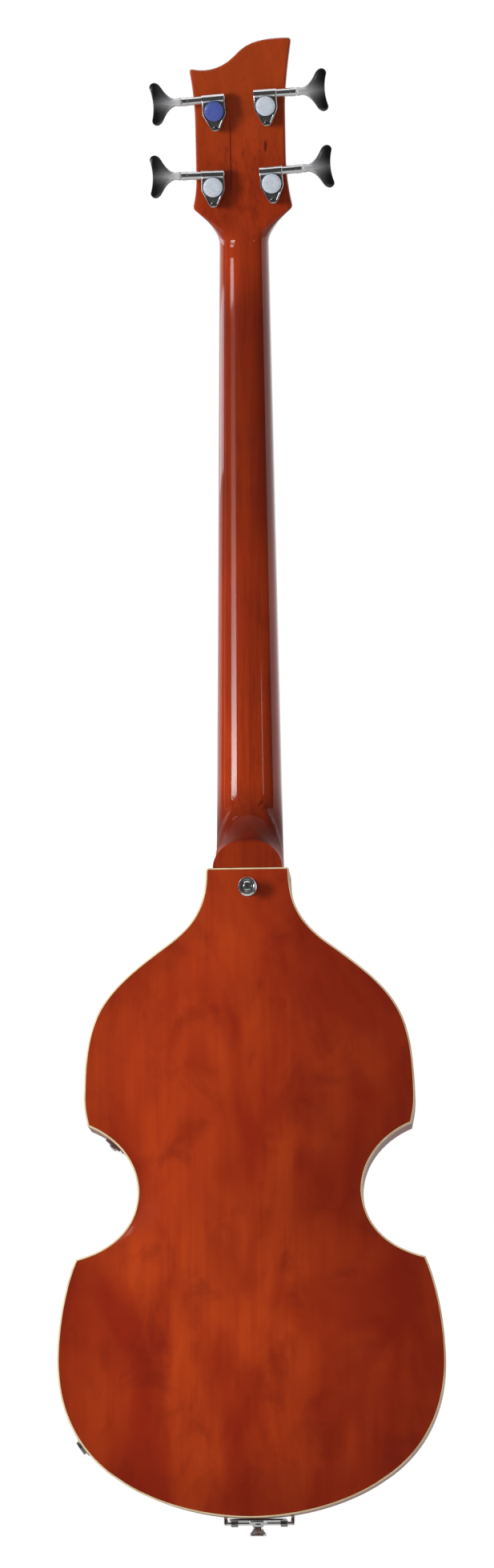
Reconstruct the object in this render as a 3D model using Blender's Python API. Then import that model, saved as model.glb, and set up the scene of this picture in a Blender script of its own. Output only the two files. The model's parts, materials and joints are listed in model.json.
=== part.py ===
"""Violin bass guitar, built as an assembly of its separate pieces. All values are metres or radians.

+Z runs up to the headstock, +Y out of the back and +X to the treble side. The origin is where the nut
line crosses the centre of the neck's top plane. The body hangs upright, and the neck leans back from it.
On the body, "below" is the distance below the top edge of its collar.
"""
import math

import bmesh
import bpy
from mathutils import Matrix, Vector
from mathutils.bvhtree import BVHTree

for leftover in list(bpy.data.objects):
    bpy.data.objects.remove(leftover, do_unlink=True)

# Clearances
GAP = 0.0003            # between two pieces that touch
RUN = 0.0004            # round a shaft that turns
PASS = 0.0010           # beyond a piece, for a cutter that goes right through it
FAR = 0.1000            # beyond a piece on every side
MERGE_LENGTH = 0.0001   # least edge of an outline that was moved inwards
STEP = 0.00001          # between two radii of a stepped rod
FLATNESS = 0.000002     # a face that is further from flat is made of triangles

# Strings and scale
SCALE_LENGTH = 0.7747   # nut to saddle
FRET_COUNT = 22
JOINT_FRET = 16         # the fret where the neck meets the body
STRING_NAMES = ("e", "a", "d", "g")
STRING_RADII = (0.00133, 0.00108, 0.00083, 0.00060)
NUT_SPREAD = 0.0285     # outer string to outer string
BRIDGE_SPREAD = 0.0510
TAIL_SPREAD = 0.0480
NUT_LIFT = 0.0005       # string above the frets at the nut
BRIDGE_LIFT = 0.0043    # string above the frets at the saddle
BALL_RADIUS = 0.0027
BALL_LENGTH = 0.0040
STRING_RISE = 0.0040    # where a string meets its turns, in front of their back end
STRING_SIDES = 8

# Neck
NECK_TILT = math.radians(3.0)
NUT_WIDTH = 0.0364
JOINT_WIDTH = 0.0490
NECK_DEPTH_NUT = 0.0165
NECK_DEPTH_JOINT = 0.0200
NECK_ROUNDNESS = 0.80   # 1 is an ellipse, less is squarer
NECK_SIDES = 12
NUT_THICK = 0.0050
NUT_CROWN = 0.0012      # nut above the highest string's centre
NUT_EDGE = 0.0006
BOARD_THICK = 0.0060
BOARD_RADIUS = 0.305
BOARD_OVERHANG = 0.0075
FRET_HEIGHT = 0.0011
FRET_WIDTH = 0.0024
ROD_RADIUS = 0.0029
ROD_NUT_RADIUS = 0.0034
ROD_DEPTH = 0.0060      # rod's centre below the neck's top plane
ROD_END = 0.0120        # end of the rod before the joint
ROD_NUT_LENGTH = 0.0120
ROD_POCKET = 0.0260     # open channel past the nut, under the cover

# Heel and tenon
HEEL_HALF = 0.0250
HEEL_CAP_RISE = 0.0210  # height of the domed cap above the collar
HEEL_SWEEP = 0.0340     # height of the hollow curve above the cap
HEEL_CAP_INSET = 0.0010 # cap below the back's edge
TENON_HALF = 0.0150
TENON_LENGTH = 0.0450
TENON_FRONT = 0.0045    # from the ribs' front edge
TENON_DEPTH = 0.0260

# Headstock
HEAD_PITCH = math.radians(13.0)
HEAD_THICK = 0.0145
HEAD_CORNER = (0.0369, 0.0258)
HEAD_ROUNDNESS = 0.07
HEAD_FLARE_STATIONS = (0.28, 0.46, 0.62, 0.76, 0.88, 1.0)   # shares of the way up to the lower corners
HEAD_SPARE = 0.0100     # wood above the tip, which the crest's cut takes away
TREBLE_WAIST = (0.0340, 0.0470, 0.0860)
BASS_WAIST = (0.0324, 0.0650, 0.1004)
TREBLE_TIP = (0.0380, 0.1295)
BASS_TIP = (0.0380, 0.1507)
CREST_TURN = (0.0029, 0.1394)
COVER_LENGTH = 0.0360
COVER_FOOT = 0.0020     # cover above the nut
COVER_HALF = 0.0120
COVER_THICK = 0.0020

# Body outline: half widths, and distances below the collar's top edge as shares of the body's length
BODY_LENGTH = 0.4633
COLLAR_HALF = 0.0300
COLLAR_ROUND = 0.0022
SHOULDER = (0.0554, 0.115 * BODY_LENGTH)
UPPER_BOUT = (0.1185, 0.356 * BODY_LENGTH)
UPPER_CORNER = (0.1158, 0.400 * BODY_LENGTH)
WAIST = (0.0801, 0.503 * BODY_LENGTH)
LOWER_CORNER = (0.1244, 0.605 * BODY_LENGTH)
LOWER_BOUT = (0.1380, 0.760 * BODY_LENGTH)
TAIL_TURN = (0.0930, 0.944 * BODY_LENGTH)

# Body shell
NECK_RISE = 0.0055      # neck's top plane above the top's edge at the joint
RIB_DEPTH = 0.0430
RIB_THICK = 0.0022
LINING_THICK = 0.0060
LINING_HEIGHT = 0.0090
PLATE_EDGE = 0.0035
PLATE_THICK = 0.0045
BINDING_WIDTH = 0.0017
TOP_ARCH = 0.0090
BACK_ARCH = 0.0080
SPINE_TOP = 0.324 * BODY_LENGTH     # ends of the line along the centre where the arch is full
SPINE_LOW = 0.734 * BODY_LENGTH
CONTOURS = (0.0, 0.08, 0.26, 0.54, 0.90)
INNER_CONTOURS = (0.20, 0.85)
CONTOUR_SMOOTHING = 24
NECK_BLOCK_LENGTH = 0.0620
NECK_BLOCK_HALF = 0.0300
TAIL_BLOCK_LENGTH = 0.0180
TAIL_BLOCK_HALF = 0.0300

# Strap buttons
BUTTON_BASE = 0.0066    # radii and heights
BUTTON_WAIST = 0.0036
BUTTON_TOP = 0.0062
BUTTON_DISH = 0.0048    # dish for the screw's head
BUTTON_SCREW = 0.0034
BUTTON_HEIGHT = 0.0105
HEEL_BUTTON_STRETCH = 0.8
HEEL_BUTTON_BELOW = 0.0144

# Bridge
BRIDGE_BASE_HALF = 0.0460
BRIDGE_BASE_DEPTH = 0.0140
BRIDGE_BASE_HEIGHT = 0.0080
STUD_RADIUS = 0.0020
STUD_HALF = 0.0280      # studs to the centreline
STUD_ENTRY = 0.0060     # stud inside the saddle
WHEEL_RADIUS = 0.0060
WHEEL_THICK = 0.0030
SADDLE_HALF = 0.0380
SADDLE_DEPTH = 0.0090
SADDLE_CROWN = 0.0014   # saddle's front above the strings' undersides
SADDLE_SHOULDER = 0.0040
BRIDGE_DROP = 0.0010    # how far the thumbwheels let the saddle down

# Tailpiece
TAIL_SHIFT = -0.0030    # tailpiece and tail button sit a little to the bass side
BAR_PAST_SADDLE = 0.0655
BAR_HALF = 0.0320
BAR_LENGTH = 0.0090
BAR_THICK = 0.0085
BAR_EDGE = 0.0012
BAR_STRING = 0.45       # string's level in the bar, as a share of its thickness
BAR_FRONT = 0.0215      # front of the bar above the top's edge
ARM_RADIUS = 0.0016
ARM_TURN = 0.0060       # where an arm turns down to the hinge, above it
HINGE_ROD_RADIUS = 0.0014
HINGE_HALF = 0.0240
KNUCKLE_RADIUS = 0.0026
KNUCKLE_LENGTH = 0.0050
KNUCKLE_HALF = 0.0177
BRACKET_HALF = 0.0205
BRACKET_THICK = 0.0013
BRACKET_DEPTH = 0.0330

# Pickups
PICKUP_HALF = 0.0370
PICKUP_LENGTH = 0.0320
PICKUP_CORNER = 0.0025
RING_BORDER = 0.0080
RING_SIDE = 0.0060      # ring's border along the strings
PAST_BOARD = 0.0055     # neck pickup's ring past the fretboard's end
BEFORE_BRIDGE = 0.0290  # bridge pickup's ring before the bridge's base
PICKUP_DROP = 0.0045    # pickup's cover under the strings
PICKUP_HEIGHT = 0.0240
RING_DROP = 0.0050      # ring's top under the pickup's cover
POLE_RADIUS = 0.0025
POLE_HEIGHT = 0.0006

# Controls
PANEL_X = 0.0780
PANEL_BELOW = 0.803 * BODY_LENGTH
PANEL_TURN = math.radians(-12.0)
PANEL_HALF = 0.0590
PANEL_WIDTH = 0.0340
PANEL_THICK = 0.0018
PANEL_CORNER = 0.0080
PANEL_LAP = 0.0044      # panel over the edge of its opening
PANEL_WALL = 0.0052     # panel's skirt, which stands on the arch
PANEL_SKIRT = 0.0060
PANEL_REACH = 0.0300    # half the depth of a cut through the top
BUSH_RISE = 0.0015
POT_FLOOR = 0.0020
POT_TIP = 0.0004
KNOB_SPACING = 0.0440   # knob's axis from the panel's centre
KNOB_RADIUS = 0.0095
KNOB_HEIGHT = 0.0110
POT_RADIUS = 0.0085
POT_DEPTH = 0.0080
BUSH_RADIUS = 0.0040
SHAFT_RADIUS = 0.0027
SWITCH_SPACING = 0.0160
SWITCH_TRAVEL = 0.0040
SLIDER_LENGTH = 0.0040
SLIDER_WIDTH = 0.0032
SLIDER_HEIGHT = 0.0035
SLIDER_ROOT = 0.0020    # slider behind the panel's face
BEZEL = 0.0015          # frame round a switch's slot
BEZEL_RISE = 0.0006

# Pickguard and its bracket
GUARD_THICK = 0.0022
GUARD_FRONT = 0.0165    # guard's underside above the top's edge
GUARD_INNER = 0.0480
GUARD_TOP = 0.242 * BODY_LENGTH
GUARD_LOW = 0.643 * BODY_LENGTH
GUARD_WAIST = (0.0700, 0.566 * BODY_LENGTH)
GUARD_LOBE = (0.0900, 0.371 * BODY_LENGTH)
GUARD_ROUND = 0.0060
SPACER_PLACE = (0.0560, 0.2525 * BODY_LENGTH)
SPACER_RADIUS = 0.0035
BRACKET_BELOW = 0.422 * BODY_LENGTH
STRIP_WIDTH = 0.0130
STRIP_THICK = 0.0012
STRIP_FOOT = 0.0300     # strip along the rib
STRIP_REACH = 0.0260
STRIP_SCREW_RADIUS = 0.0030
STRIP_SCREW_RISE = 0.0015
STRIP_SCREWS = (0.0140, 0.0260)

# Output jack
JACK_BELOW = 0.887 * BODY_LENGTH
JACK_FLANGE = 0.0078
JACK_FLANGE_THICK = 0.0016
JACK_NUT = 0.0058
JACK_NUT_THICK = 0.0022
JACK_BARREL = 0.0046
JACK_BORE = 0.0032
JACK_DEPTH = 0.0240

# Tuning machines, each with its place on the headstock and how far it is turned from square
TUNER_PLACES = (
    ("e", -0.0219, 0.0435, math.radians(-4.0), 0.0040),
    ("a", -0.0184, 0.1003, math.radians(-3.0), 0.0032),
    ("d", 0.0195, 0.0970, math.radians(-4.0), 0.0032),
    ("g", 0.0213, 0.0414, math.radians(-0.8), 0.0040),
)
GEAR_TEETH = 20
GEAR_PITCH_RADIUS = 0.0062
GEAR_TIP = 0.00645
GEAR_ROOT = 0.0057
GEAR_THICK = 0.0030
WORM_OFFSET = 0.0090    # worm's axis from the post's
WORM_LEVEL = 0.0050     # worm's axis above the headstock's back
WORM_ROOT = 0.00225
WORM_TIP = 0.0030
WORM_TURNS = 2
WORM_LAND = 0.0014      # plain bearing at each end of the worm
HOUSING_HALF = 0.0085
HOUSING_HEIGHT = 0.0088
HOUSING_FLOOR = 0.0018
HOUSING_SIDE = 0.0012   # where the straight sides end, past the post
HOUSING_SCREW = 0.0116  # screw from the post
HOUSING_TIP_RADIUS = 0.0033
POCKET_RADIUS = 0.0069  # round the gear
CAP_RADIUS = 0.0076
CAP_THICK = 0.0013
CAP_EDGE = 0.0004
BARREL_RADIUS = 0.0039
TUBE_RADIUS = 0.0032
TUBE_END = 0.0232
COLLAR_RADIUS = 0.0034
COLLAR_LENGTH = 0.0042
SCREW_HEAD = 0.0022
SCREW_RISE = 0.0009
POST_RADIUS = 0.0047
POST_NECK = 0.0038
POST_FRONT = 0.0200     # post in front of the headstock's face
POST_HEAD = 0.0030
POST_STEP = 0.0010      # post's shoulder under the housing's floor
WIND_CORE = 0.0040
WIND_TURNS = 3
FERRULE_FLANGE = 0.0085
FERRULE_SLEEVE = 0.0062
FERRULE_RISE = 0.0014
FERRULE_LENGTH = 0.0100
STEM_RADIUS = 0.0018
HUB_RADIUS = 0.0030
HUB_LENGTH = 0.0050
LOBE_REACH = 0.0425     # lobes' centres along the worm's axis from the post
LOBE_HALF = 0.0122
LOBE_RADIUS = 0.0036
BUTTON_HOLLOW = 0.0442  # middle of the hollow outer edge
BUTTON_THICK = 0.0034
BUTTON_EDGE = 0.0009    # width of the edge that thins

# Finishes: base colour, roughness, metallic
AMBER = ((0.36, 0.065, 0.018), 0.18, 0.0)
MAPLE = ((0.62, 0.42, 0.24), 0.5, 0.0)
IVORY = ((0.80, 0.72, 0.52), 0.3, 0.0)
ROSEWOOD = ((0.09, 0.045, 0.03), 0.45, 0.0)
CHROME = ((0.62, 0.62, 0.64), 0.12, 1.0)
STEEL = ((0.50, 0.50, 0.50), 0.35, 1.0)
NICKEL = ((0.66, 0.64, 0.60), 0.25, 1.0)
BLACK = ((0.02, 0.02, 0.02), 0.3, 0.0)
PEARL = ((0.82, 0.80, 0.74), 0.25, 0.0)
BRASS = ((0.70, 0.52, 0.22), 0.3, 1.0)


def fret(number):
    """Distance of a fret from the nut."""
    return SCALE_LENGTH * (1 - 2 ** (-number / 12))


# Levels that follow from the sizes above
JOINT = fret(JOINT_FRET)
JOINT_Z = -JOINT * math.cos(NECK_TILT)
TOP_EDGE = -JOINT * math.sin(NECK_TILT) + NECK_RISE
RIM_FRONT = TOP_EDGE + PLATE_EDGE
RIM_BACK = RIM_FRONT + RIB_DEPTH
BACK_EDGE = RIM_BACK + PLATE_EDGE
RIM_MIDDLE = (RIM_FRONT + RIM_BACK) / 2
BOARD_END = fret(FRET_COUNT) + BOARD_OVERHANG
SADDLE_BELOW = (SCALE_LENGTH - JOINT) * math.cos(NECK_TILT)
RING_HALF = PICKUP_LENGTH / 2 + RING_SIDE
NECK_PICKUP_BELOW = (BOARD_END - JOINT) * math.cos(NECK_TILT) + PAST_BOARD + RING_HALF
BRIDGE_PICKUP_BELOW = SADDLE_BELOW - BRIDGE_BASE_DEPTH / 2 - BEFORE_BRIDGE - RING_HALF
BAR_BELOW = SADDLE_BELOW + BAR_PAST_SADDLE


def frame(name, location=(0, 0, 0), rotation=(0, 0, 0), parent=None):
    """An empty that pieces are placed in."""
    empty = bpy.data.objects.new(name, None)
    bpy.context.scene.collection.objects.link(empty)
    empty.parent = parent
    empty.location = location
    empty.rotation_euler = rotation
    return empty


NECK_FRAME = frame("neck_frame", rotation=(-NECK_TILT, 0, 0))
HEAD_FRAME = frame("head_frame", (0, 0, NUT_THICK), (-HEAD_PITCH, 0, 0), NECK_FRAME)
BODY_FRAME = frame("body_frame", (0, 0, JOINT_Z))
NECK_MATRIX = Matrix.Rotation(-NECK_TILT, 4, "X")
HEAD_MATRIX = NECK_MATRIX @ Matrix.Translation((0, 0, NUT_THICK)) @ Matrix.Rotation(-HEAD_PITCH, 4, "X")
BODY_MATRIX = Matrix.Translation((0, 0, JOINT_Z))


def is_twisted(face):
    """Whether a face's corners lie off its plane."""
    centre = face.calc_center_median()
    return any(abs((vertex.co - centre).dot(face.normal)) > FLATNESS for vertex in face.verts)


def piece(name, shape, finish, parent=None, location=(0, 0, 0), rotation=(0, 0, 0)):
    """Make a shape of vertices and faces into a named object with its own material."""
    vertices, faces = shape
    mesh = bpy.data.meshes.new(name)
    mesh.from_pydata([tuple(vertex) for vertex in vertices], [], faces)
    work = bmesh.new()
    work.from_mesh(mesh)
    bmesh.ops.recalc_face_normals(work, faces=work.faces)
    twisted = [face for face in work.faces if is_twisted(face)]
    bmesh.ops.triangulate(work, faces=twisted)
    work.to_mesh(mesh)
    work.free()
    mesh.shade_smooth()
    mesh.set_sharp_from_angle(angle=math.radians(38))
    if finish:
        color, roughness, metallic = finish
        material = bpy.data.materials.new(name)
        material.use_nodes = True
        shader = material.node_tree.nodes["Principled BSDF"]
        shader.inputs["Base Color"].default_value = (*color, 1.0)
        shader.inputs["Roughness"].default_value = roughness
        shader.inputs["Metallic"].default_value = metallic
        mesh.materials.append(material)
    result = bpy.data.objects.new(name, mesh)
    bpy.context.scene.collection.objects.link(result)
    result.parent = parent
    result.location = location
    result.rotation_euler = rotation
    return result


def combine(target, operation, shape, parent=None, location=(0, 0, 0), rotation=(0, 0, 0)):
    """Cut, join or intersect a piece with another shape."""
    tool_name = f"{target.name}_tool_{len(target.modifiers)}"
    tool = piece(tool_name, shape, None, parent, location, rotation)
    tool.hide_render = True
    tool.display_type = "WIRE"
    modifier = target.modifiers.new(tool_name, "BOOLEAN")
    modifier.operation = operation
    modifier.solver = "EXACT"
    modifier.object = tool


def soften(target, width, segments=1):
    """Round a piece's sharp edges."""
    modifier = target.modifiers.new("soft_edges", "BEVEL")
    modifier.width = width
    modifier.segments = segments
    modifier.limit_method = "ANGLE"
    modifier.angle_limit = math.radians(50)


def lofted(rings, closed=False):
    """Bridge rings of points in order; the end rings are capped, or joined to each other when closed."""
    count = len(rings[0])
    vertices = [Vector(point) for ring in rings for point in ring]
    faces = []
    for index in range(len(rings) if closed else len(rings) - 1):
        here = index * count
        there = (index + 1) % len(rings) * count
        for step in range(count):
            beside = (step + 1) % count
            faces.append((here + step, here + beside, there + beside, there + step))
    if not closed:
        faces.append(tuple(range(count)))
        faces.append(tuple(range(len(vertices) - count, len(vertices))))
    return vertices, faces


def circle(radius, sides, centre=(0, 0)):
    """Points of a circle in a plane."""
    turns = [2 * math.pi * (step + 0.5) / sides for step in range(sides)]
    return [(centre[0] + radius * math.cos(turn), centre[1] + radius * math.sin(turn)) for turn in turns]


def turned(profile, sides, hollow=False):
    """Revolve (radius, height) pairs about Z; a hollow profile is a loop round its wall."""
    rings = [[(x, y, height) for x, y in circle(radius, sides)] for radius, height in profile]
    return lofted(rings, closed=hollow)


def extruded(outline, low, high):
    """Extrude an outline along Z."""
    return lofted([[(x, y, low) for x, y in outline], [(x, y, high) for x, y in outline]])


def block(low, high):
    """A box from its lowest to its highest corner."""
    outline = ((low[0], low[1]), (high[0], low[1]), (high[0], high[1]), (low[0], high[1]))
    return extruded(outline, low[2], high[2])


def swept(points, radii, sides):
    """A round rod along points, with a radius at each."""
    rings = []
    for index, point in enumerate(points):
        before = points[max(index - 1, 0)]
        after = points[min(index + 1, len(points) - 1)]
        along = (Vector(after) - Vector(before)).normalized()
        across = along.cross(Vector((1, 0, 0)) if abs(along.x) < 0.9 else Vector((0, 1, 0))).normalized()
        beside = along.cross(across)
        rings.append([Vector(point) + across * x + beside * y for x, y in circle(radii[index], sides)])
    return lofted(rings)


def bent(start, end, leave, arrive, steps):
    """A cubic from start, without its end; the handles are shares of the span in each direction."""
    span = (end[0] - start[0], end[1] - start[1])
    points = []
    for step in range(steps):
        u = step / steps
        pull = (3 * (1 - u) ** 2 * u, 3 * (1 - u) * u * u, u ** 3)
        points.append(tuple(
            start[axis] + span[axis] * (pull[0] * leave[axis] + pull[1] * arrive[axis] + pull[2])
            for axis in (0, 1)
        ))
    return points


def rounded_box(half_x, half_y, radius, steps=3):
    """Outline of a rectangle with round corners."""
    outline = []
    for quarter, (side_x, side_y) in enumerate(((1, 1), (-1, 1), (-1, -1), (1, -1))):
        for step in range(steps + 1):
            turn = math.pi / 2 * (quarter + step / steps)
            outline.append((side_x * (half_x - radius) + radius * math.cos(turn),
                            side_y * (half_y - radius) + radius * math.sin(turn)))
    return outline


def body_outline():
    """The body's outline as (x, below) points, from the collar's middle down the treble side and up again."""
    half = [(0.0, 0.0), (COLLAR_HALF - COLLAR_ROUND, 0.0)]
    half += bent((COLLAR_HALF, COLLAR_ROUND), SHOULDER, (0.02, 0.34), (0.11, 0.66), 3)
    half += bent(SHOULDER, UPPER_BOUT, (0.81, 0.33), (0.985, 0.45), 5)
    half += bent(UPPER_BOUT, UPPER_CORNER, (0.0, 0.43), (0.41, 0.61), 2)
    half += bent(UPPER_CORNER, WAIST, (0.62, 0.19), (1.0, 0.58), 5)
    half += bent(WAIST, LOWER_CORNER, (0.02, 0.43), (0.275, 0.826), 5)
    half += bent(LOWER_CORNER, LOWER_BOUT, (0.68, 0.28), (1.0, 0.72), 3)
    half += bent(LOWER_BOUT, TAIL_TURN, (0.0, 0.40), (0.30, 0.77), 4)
    half += bent(TAIL_TURN, (0.0, BODY_LENGTH), (0.267, 0.648), (0.65, 1.0), 4)
    other = [(-x, below) for x, below in reversed(half[1:])]
    return half + [(0.0, BODY_LENGTH)] + other


def inset(outline, distance):
    """Move a closed outline inwards, square to its edges; an edge that closes up keeps a short length."""
    result = []
    for index, point in enumerate(outline):
        here = Vector(point)
        arriving = (here - Vector(outline[index - 1])).normalized()
        leaving = (Vector(outline[(index + 1) % len(outline)]) - here).normalized()
        normal = Vector((-arriving.y - leaving.y, arriving.x + leaving.x)).normalized()
        result.append(here + normal * distance / normal.dot(Vector((-arriving.y, arriving.x))))
    for index, point in enumerate(result):
        beside = (index + 1) % len(result)
        along = (Vector(outline[beside]) - Vector(outline[index])).normalized()
        if (result[beside] - point).dot(along) < MERGE_LENGTH:
            middle = (point + result[beside]) / 2
            result[index] = middle - along * MERGE_LENGTH / 2
            result[beside] = middle + along * MERGE_LENGTH / 2
    return [(point.x, point.y) for point in result]


def level(outline, y):
    """An outline's ring in the body's frame."""
    return [(x, y, -below) for x, below in outline]


def outline_place(below, low=0.0):
    """Point and outward direction of the treble side's outline at a distance below the collar."""
    points = [point for point in body_outline() if point[0] > 0 and point[1] >= low]
    for first, second in zip(points, points[1:]):
        if first[1] <= below <= second[1]:
            along = (Vector(second) - Vector(first)).normalized()
            share = (below - first[1]) / (second[1] - first[1])
            return Vector(first).lerp(Vector(second), share), Vector((along.y, -along.x))
    raise ValueError("no outline at this distance")


def arch_share(share):
    """Height of the arch, as a share of its full height, along the way from the edge to the spine."""
    return math.sin(math.pi / 2 * share ** 0.7) ** 2


def contour(edge, share):
    """A plate's contour line: its edge smoothed, and drawn towards the spine."""
    points = edge
    for _ in range(round(share * CONTOUR_SMOOTHING)):
        points = [
            ((points[i - 1][0] + 2 * points[i][0] + points[(i + 1) % len(points)][0]) / 4,
             (points[i - 1][1] + 2 * points[i][1] + points[(i + 1) % len(points)][1]) / 4)
            for i in range(len(points))
        ]
    return [
        (x * (1 - share), below + share * (min(max(below, SPINE_TOP), SPINE_LOW) - below))
        for x, below in points
    ]


def arched_rings(edge, base, outward, arch, lift=0.0):
    """Rings of an arched outer surface over an edge outline."""
    return [
        level(contour(edge, share), base + outward * (PLATE_EDGE + arch * arch_share(share) + lift))
        for share in CONTOURS
    ]


def arched_plate(edge, base, outward, arch):
    """A carved plate: flat gluing edge, arched outside and hollowed inside."""
    inner = [
        level(contour(edge, share), base + outward * max(
            PLATE_EDGE + arch * arch_share(share) - PLATE_THICK, GAP))
        for share in reversed(INNER_CONTOURS)
    ]
    return lofted(inner + [level(inset(edge, LINING_THICK), base), level(edge, base)]
                  + arched_rings(edge, base, outward, arch))


def ring_section(outline, levels):
    """A closed wall whose section is a loop of (inset, y) pairs."""
    return lofted([level(inset(outline, depth), y) for depth, y in levels], closed=True)


OUTLINE = body_outline()
PLATE_OUTLINE = inset(OUTLINE, BINDING_WIDTH + GAP)


def arch_over(lift):
    """A solid that fills the top plate's arch from the ribs' front, raised by a clearance."""
    rings = arched_rings(PLATE_OUTLINE, RIM_FRONT, -1, TOP_ARCH, lift)
    return lofted([level(PLATE_OUTLINE, RIM_MIDDLE)] + rings)


ARCH_TREE = BVHTree.FromPolygons(*arch_over(0.0))


def arch_level(x, below):
    """Level of the top plate's outer surface."""
    hit = ARCH_TREE.ray_cast(Vector((x, -1.0, -below)), Vector((0, 1, 0)))[0]
    return hit.y if hit else TOP_EDGE


def neck_half(distance):
    """Half the neck's width at a distance from the nut."""
    return (NUT_WIDTH + (JOINT_WIDTH - NUT_WIDTH) * distance / JOINT) / 2


def neck_depth(distance):
    """Neck's depth behind its top plane."""
    return NECK_DEPTH_NUT + (NECK_DEPTH_JOINT - NECK_DEPTH_NUT) * distance / JOINT


def plane_level(height):
    """Level, in the body's frame, of the neck's top plane at a height over the collar."""
    return (JOINT_Z + height) * math.tan(NECK_TILT)


def neck_section(treble, bass, depth, roundness, height):
    """A section of the neck, flat in front and round behind."""
    ring = []
    for step in range(NECK_SIDES + 1):
        turn = math.pi * step / NECK_SIDES
        half = treble if step * 2 <= NECK_SIDES else -bass
        x = half * abs(math.cos(turn)) ** roundness
        y = depth * abs(math.sin(turn)) ** roundness
        ring.append((x, y, height))
    return ring


def flank(height, waist, tip, power):
    """Half the headstock's width on one side."""
    half, low, high = waist
    start = neck_half(0)
    if height < HEAD_CORNER[1]:
        return start + (HEAD_CORNER[0] - start) * (max(height, 0) / HEAD_CORNER[1]) ** 1.6
    if height < low:
        return half + (HEAD_CORNER[0] - half) * ((low - height) / (low - HEAD_CORNER[1])) ** 2
    if height < high:
        return half
    return half + (tip[0] - half) * ((height - high) / (tip[1] - high)) ** power


def head_section(height):
    """A section of the headstock, which turns from the neck's round back to a flat one."""
    share = min(height / HEAD_CORNER[1], 1.0)
    treble = flank(height, TREBLE_WAIST, TREBLE_TIP, 2.0)
    bass = flank(height, BASS_WAIST, BASS_TIP, 1.5)
    depth = NECK_DEPTH_NUT + (HEAD_THICK - NECK_DEPTH_NUT) * min(height / 0.010, 1.0)
    roundness = NECK_ROUNDNESS + (HEAD_ROUNDNESS - NECK_ROUNDNESS) * share ** 0.8
    return neck_section(treble, bass, depth, roundness, height)


def head_crest():
    """Outline above the headstock's S-shaped top edge."""
    beyond = 0.020
    curve = bent((TREBLE_TIP[0] + PASS, TREBLE_TIP[1]), CREST_TURN, (0.28, -0.42), (0.74, -0.12), 8)
    curve += bent(CREST_TURN, (-BASS_TIP[0] - PASS, BASS_TIP[1]), (0.19, 0.70), (0.41, 1.0), 9)
    top = BASS_TIP[1] + beyond * 2
    return curve + [(-BASS_TIP[0] - beyond, BASS_TIP[1]), (-BASS_TIP[0] - beyond, top),
                    (TREBLE_TIP[0] + beyond, top), (TREBLE_TIP[0] + beyond, TREBLE_TIP[1])]


def heel_rings():
    """Rings of the heel, from the neck's top plane back to the domed cap."""
    cap = BACK_EDGE - HEEL_CAP_INSET
    height = HEEL_CAP_RISE + HEEL_SWEEP
    root = plane_level(height) + NECK_DEPTH_JOINT
    steps = 7
    levels = [(plane_level(height) + GAP, height)]
    for step in range(steps + 1):
        turn = math.pi / 2 * (1 - step / steps)
        levels.append((cap - (cap - root) * math.sin(turn), height - HEEL_SWEEP * math.cos(turn)))
    sides = 12
    rings = []
    for y, rise in levels:
        turns = [math.pi * side / sides for side in range(sides + 1)]
        arc = [(HEEL_HALF * math.cos(turn), y, GAP + rise * math.sin(turn)) for turn in turns]
        rings.append(arc + [(-HEEL_HALF, y, -PASS), (HEEL_HALF, y, -PASS)])
    return rings


def make_neck():
    """Neck of one piece: headstock, shaft, heel, tenon and the tongue under the fretboard's end."""
    rings = []
    for distance in (JOINT + NECK_RISE, JOINT * 0.75, JOINT * 0.5, JOINT * 0.25, 0.0, -NUT_THICK):
        place = max(distance, 0.0)
        half = neck_half(place)
        rings.append([NECK_MATRIX @ Vector(point) for point in
                      neck_section(half, half, neck_depth(place), NECK_ROUNDNESS, -distance)])
    heights = [HEAD_CORNER[1] * share for share in HEAD_FLARE_STATIONS]
    heights += [(HEAD_CORNER[1] + TREBLE_WAIST[1]) / 2, TREBLE_WAIST[1], BASS_WAIST[1]]
    heights += [TREBLE_WAIST[2], BASS_WAIST[2], (BASS_WAIST[2] + TREBLE_TIP[1]) / 2]
    heights += [TREBLE_TIP[1], CREST_TURN[1], BASS_TIP[1] + HEAD_SPARE]
    for height in heights:
        rings.append([HEAD_MATRIX @ Vector(point) for point in head_section(height)])
    neck = piece("neck", lofted(rings), AMBER)
    combine(neck, "UNION", lofted(heel_rings()), BODY_FRAME)
    combine(neck, "DIFFERENCE", block((-FAR, -FAR, -FAR), (FAR, FAR, GAP)), BODY_FRAME)
    front = RIM_FRONT + TENON_FRONT
    tenon = block((-TENON_HALF, front, -TENON_LENGTH), (TENON_HALF, front + TENON_DEPTH, GAP + PASS))
    combine(neck, "UNION", tenon, BODY_FRAME)
    combine(neck, "UNION", lofted(tongue_rings()), BODY_FRAME)
    channel_half = ROD_NUT_RADIUS + RUN
    channel = block((-channel_half, -PASS, -(JOINT - ROD_END + GAP)),
                    (channel_half, ROD_DEPTH + ROD_NUT_RADIUS + RUN, NUT_THICK + ROD_POCKET))
    combine(neck, "DIFFERENCE", channel, NECK_FRAME)
    for _, x, height, _, _ in TUNER_PLACES:
        hole = turned([(FERRULE_SLEEVE + GAP, -PASS), (FERRULE_SLEEVE + GAP, HEAD_THICK + PASS)], 14)
        combine(neck, "DIFFERENCE", hole, HEAD_FRAME, (x, 0, height), (-math.pi / 2, 0, 0))
    crest = [(x, -height) for x, height in head_crest()]
    combine(neck, "DIFFERENCE", extruded(crest, -FAR, FAR), HEAD_FRAME, (0, 0, 0), (-math.pi / 2, 0, 0))


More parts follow.
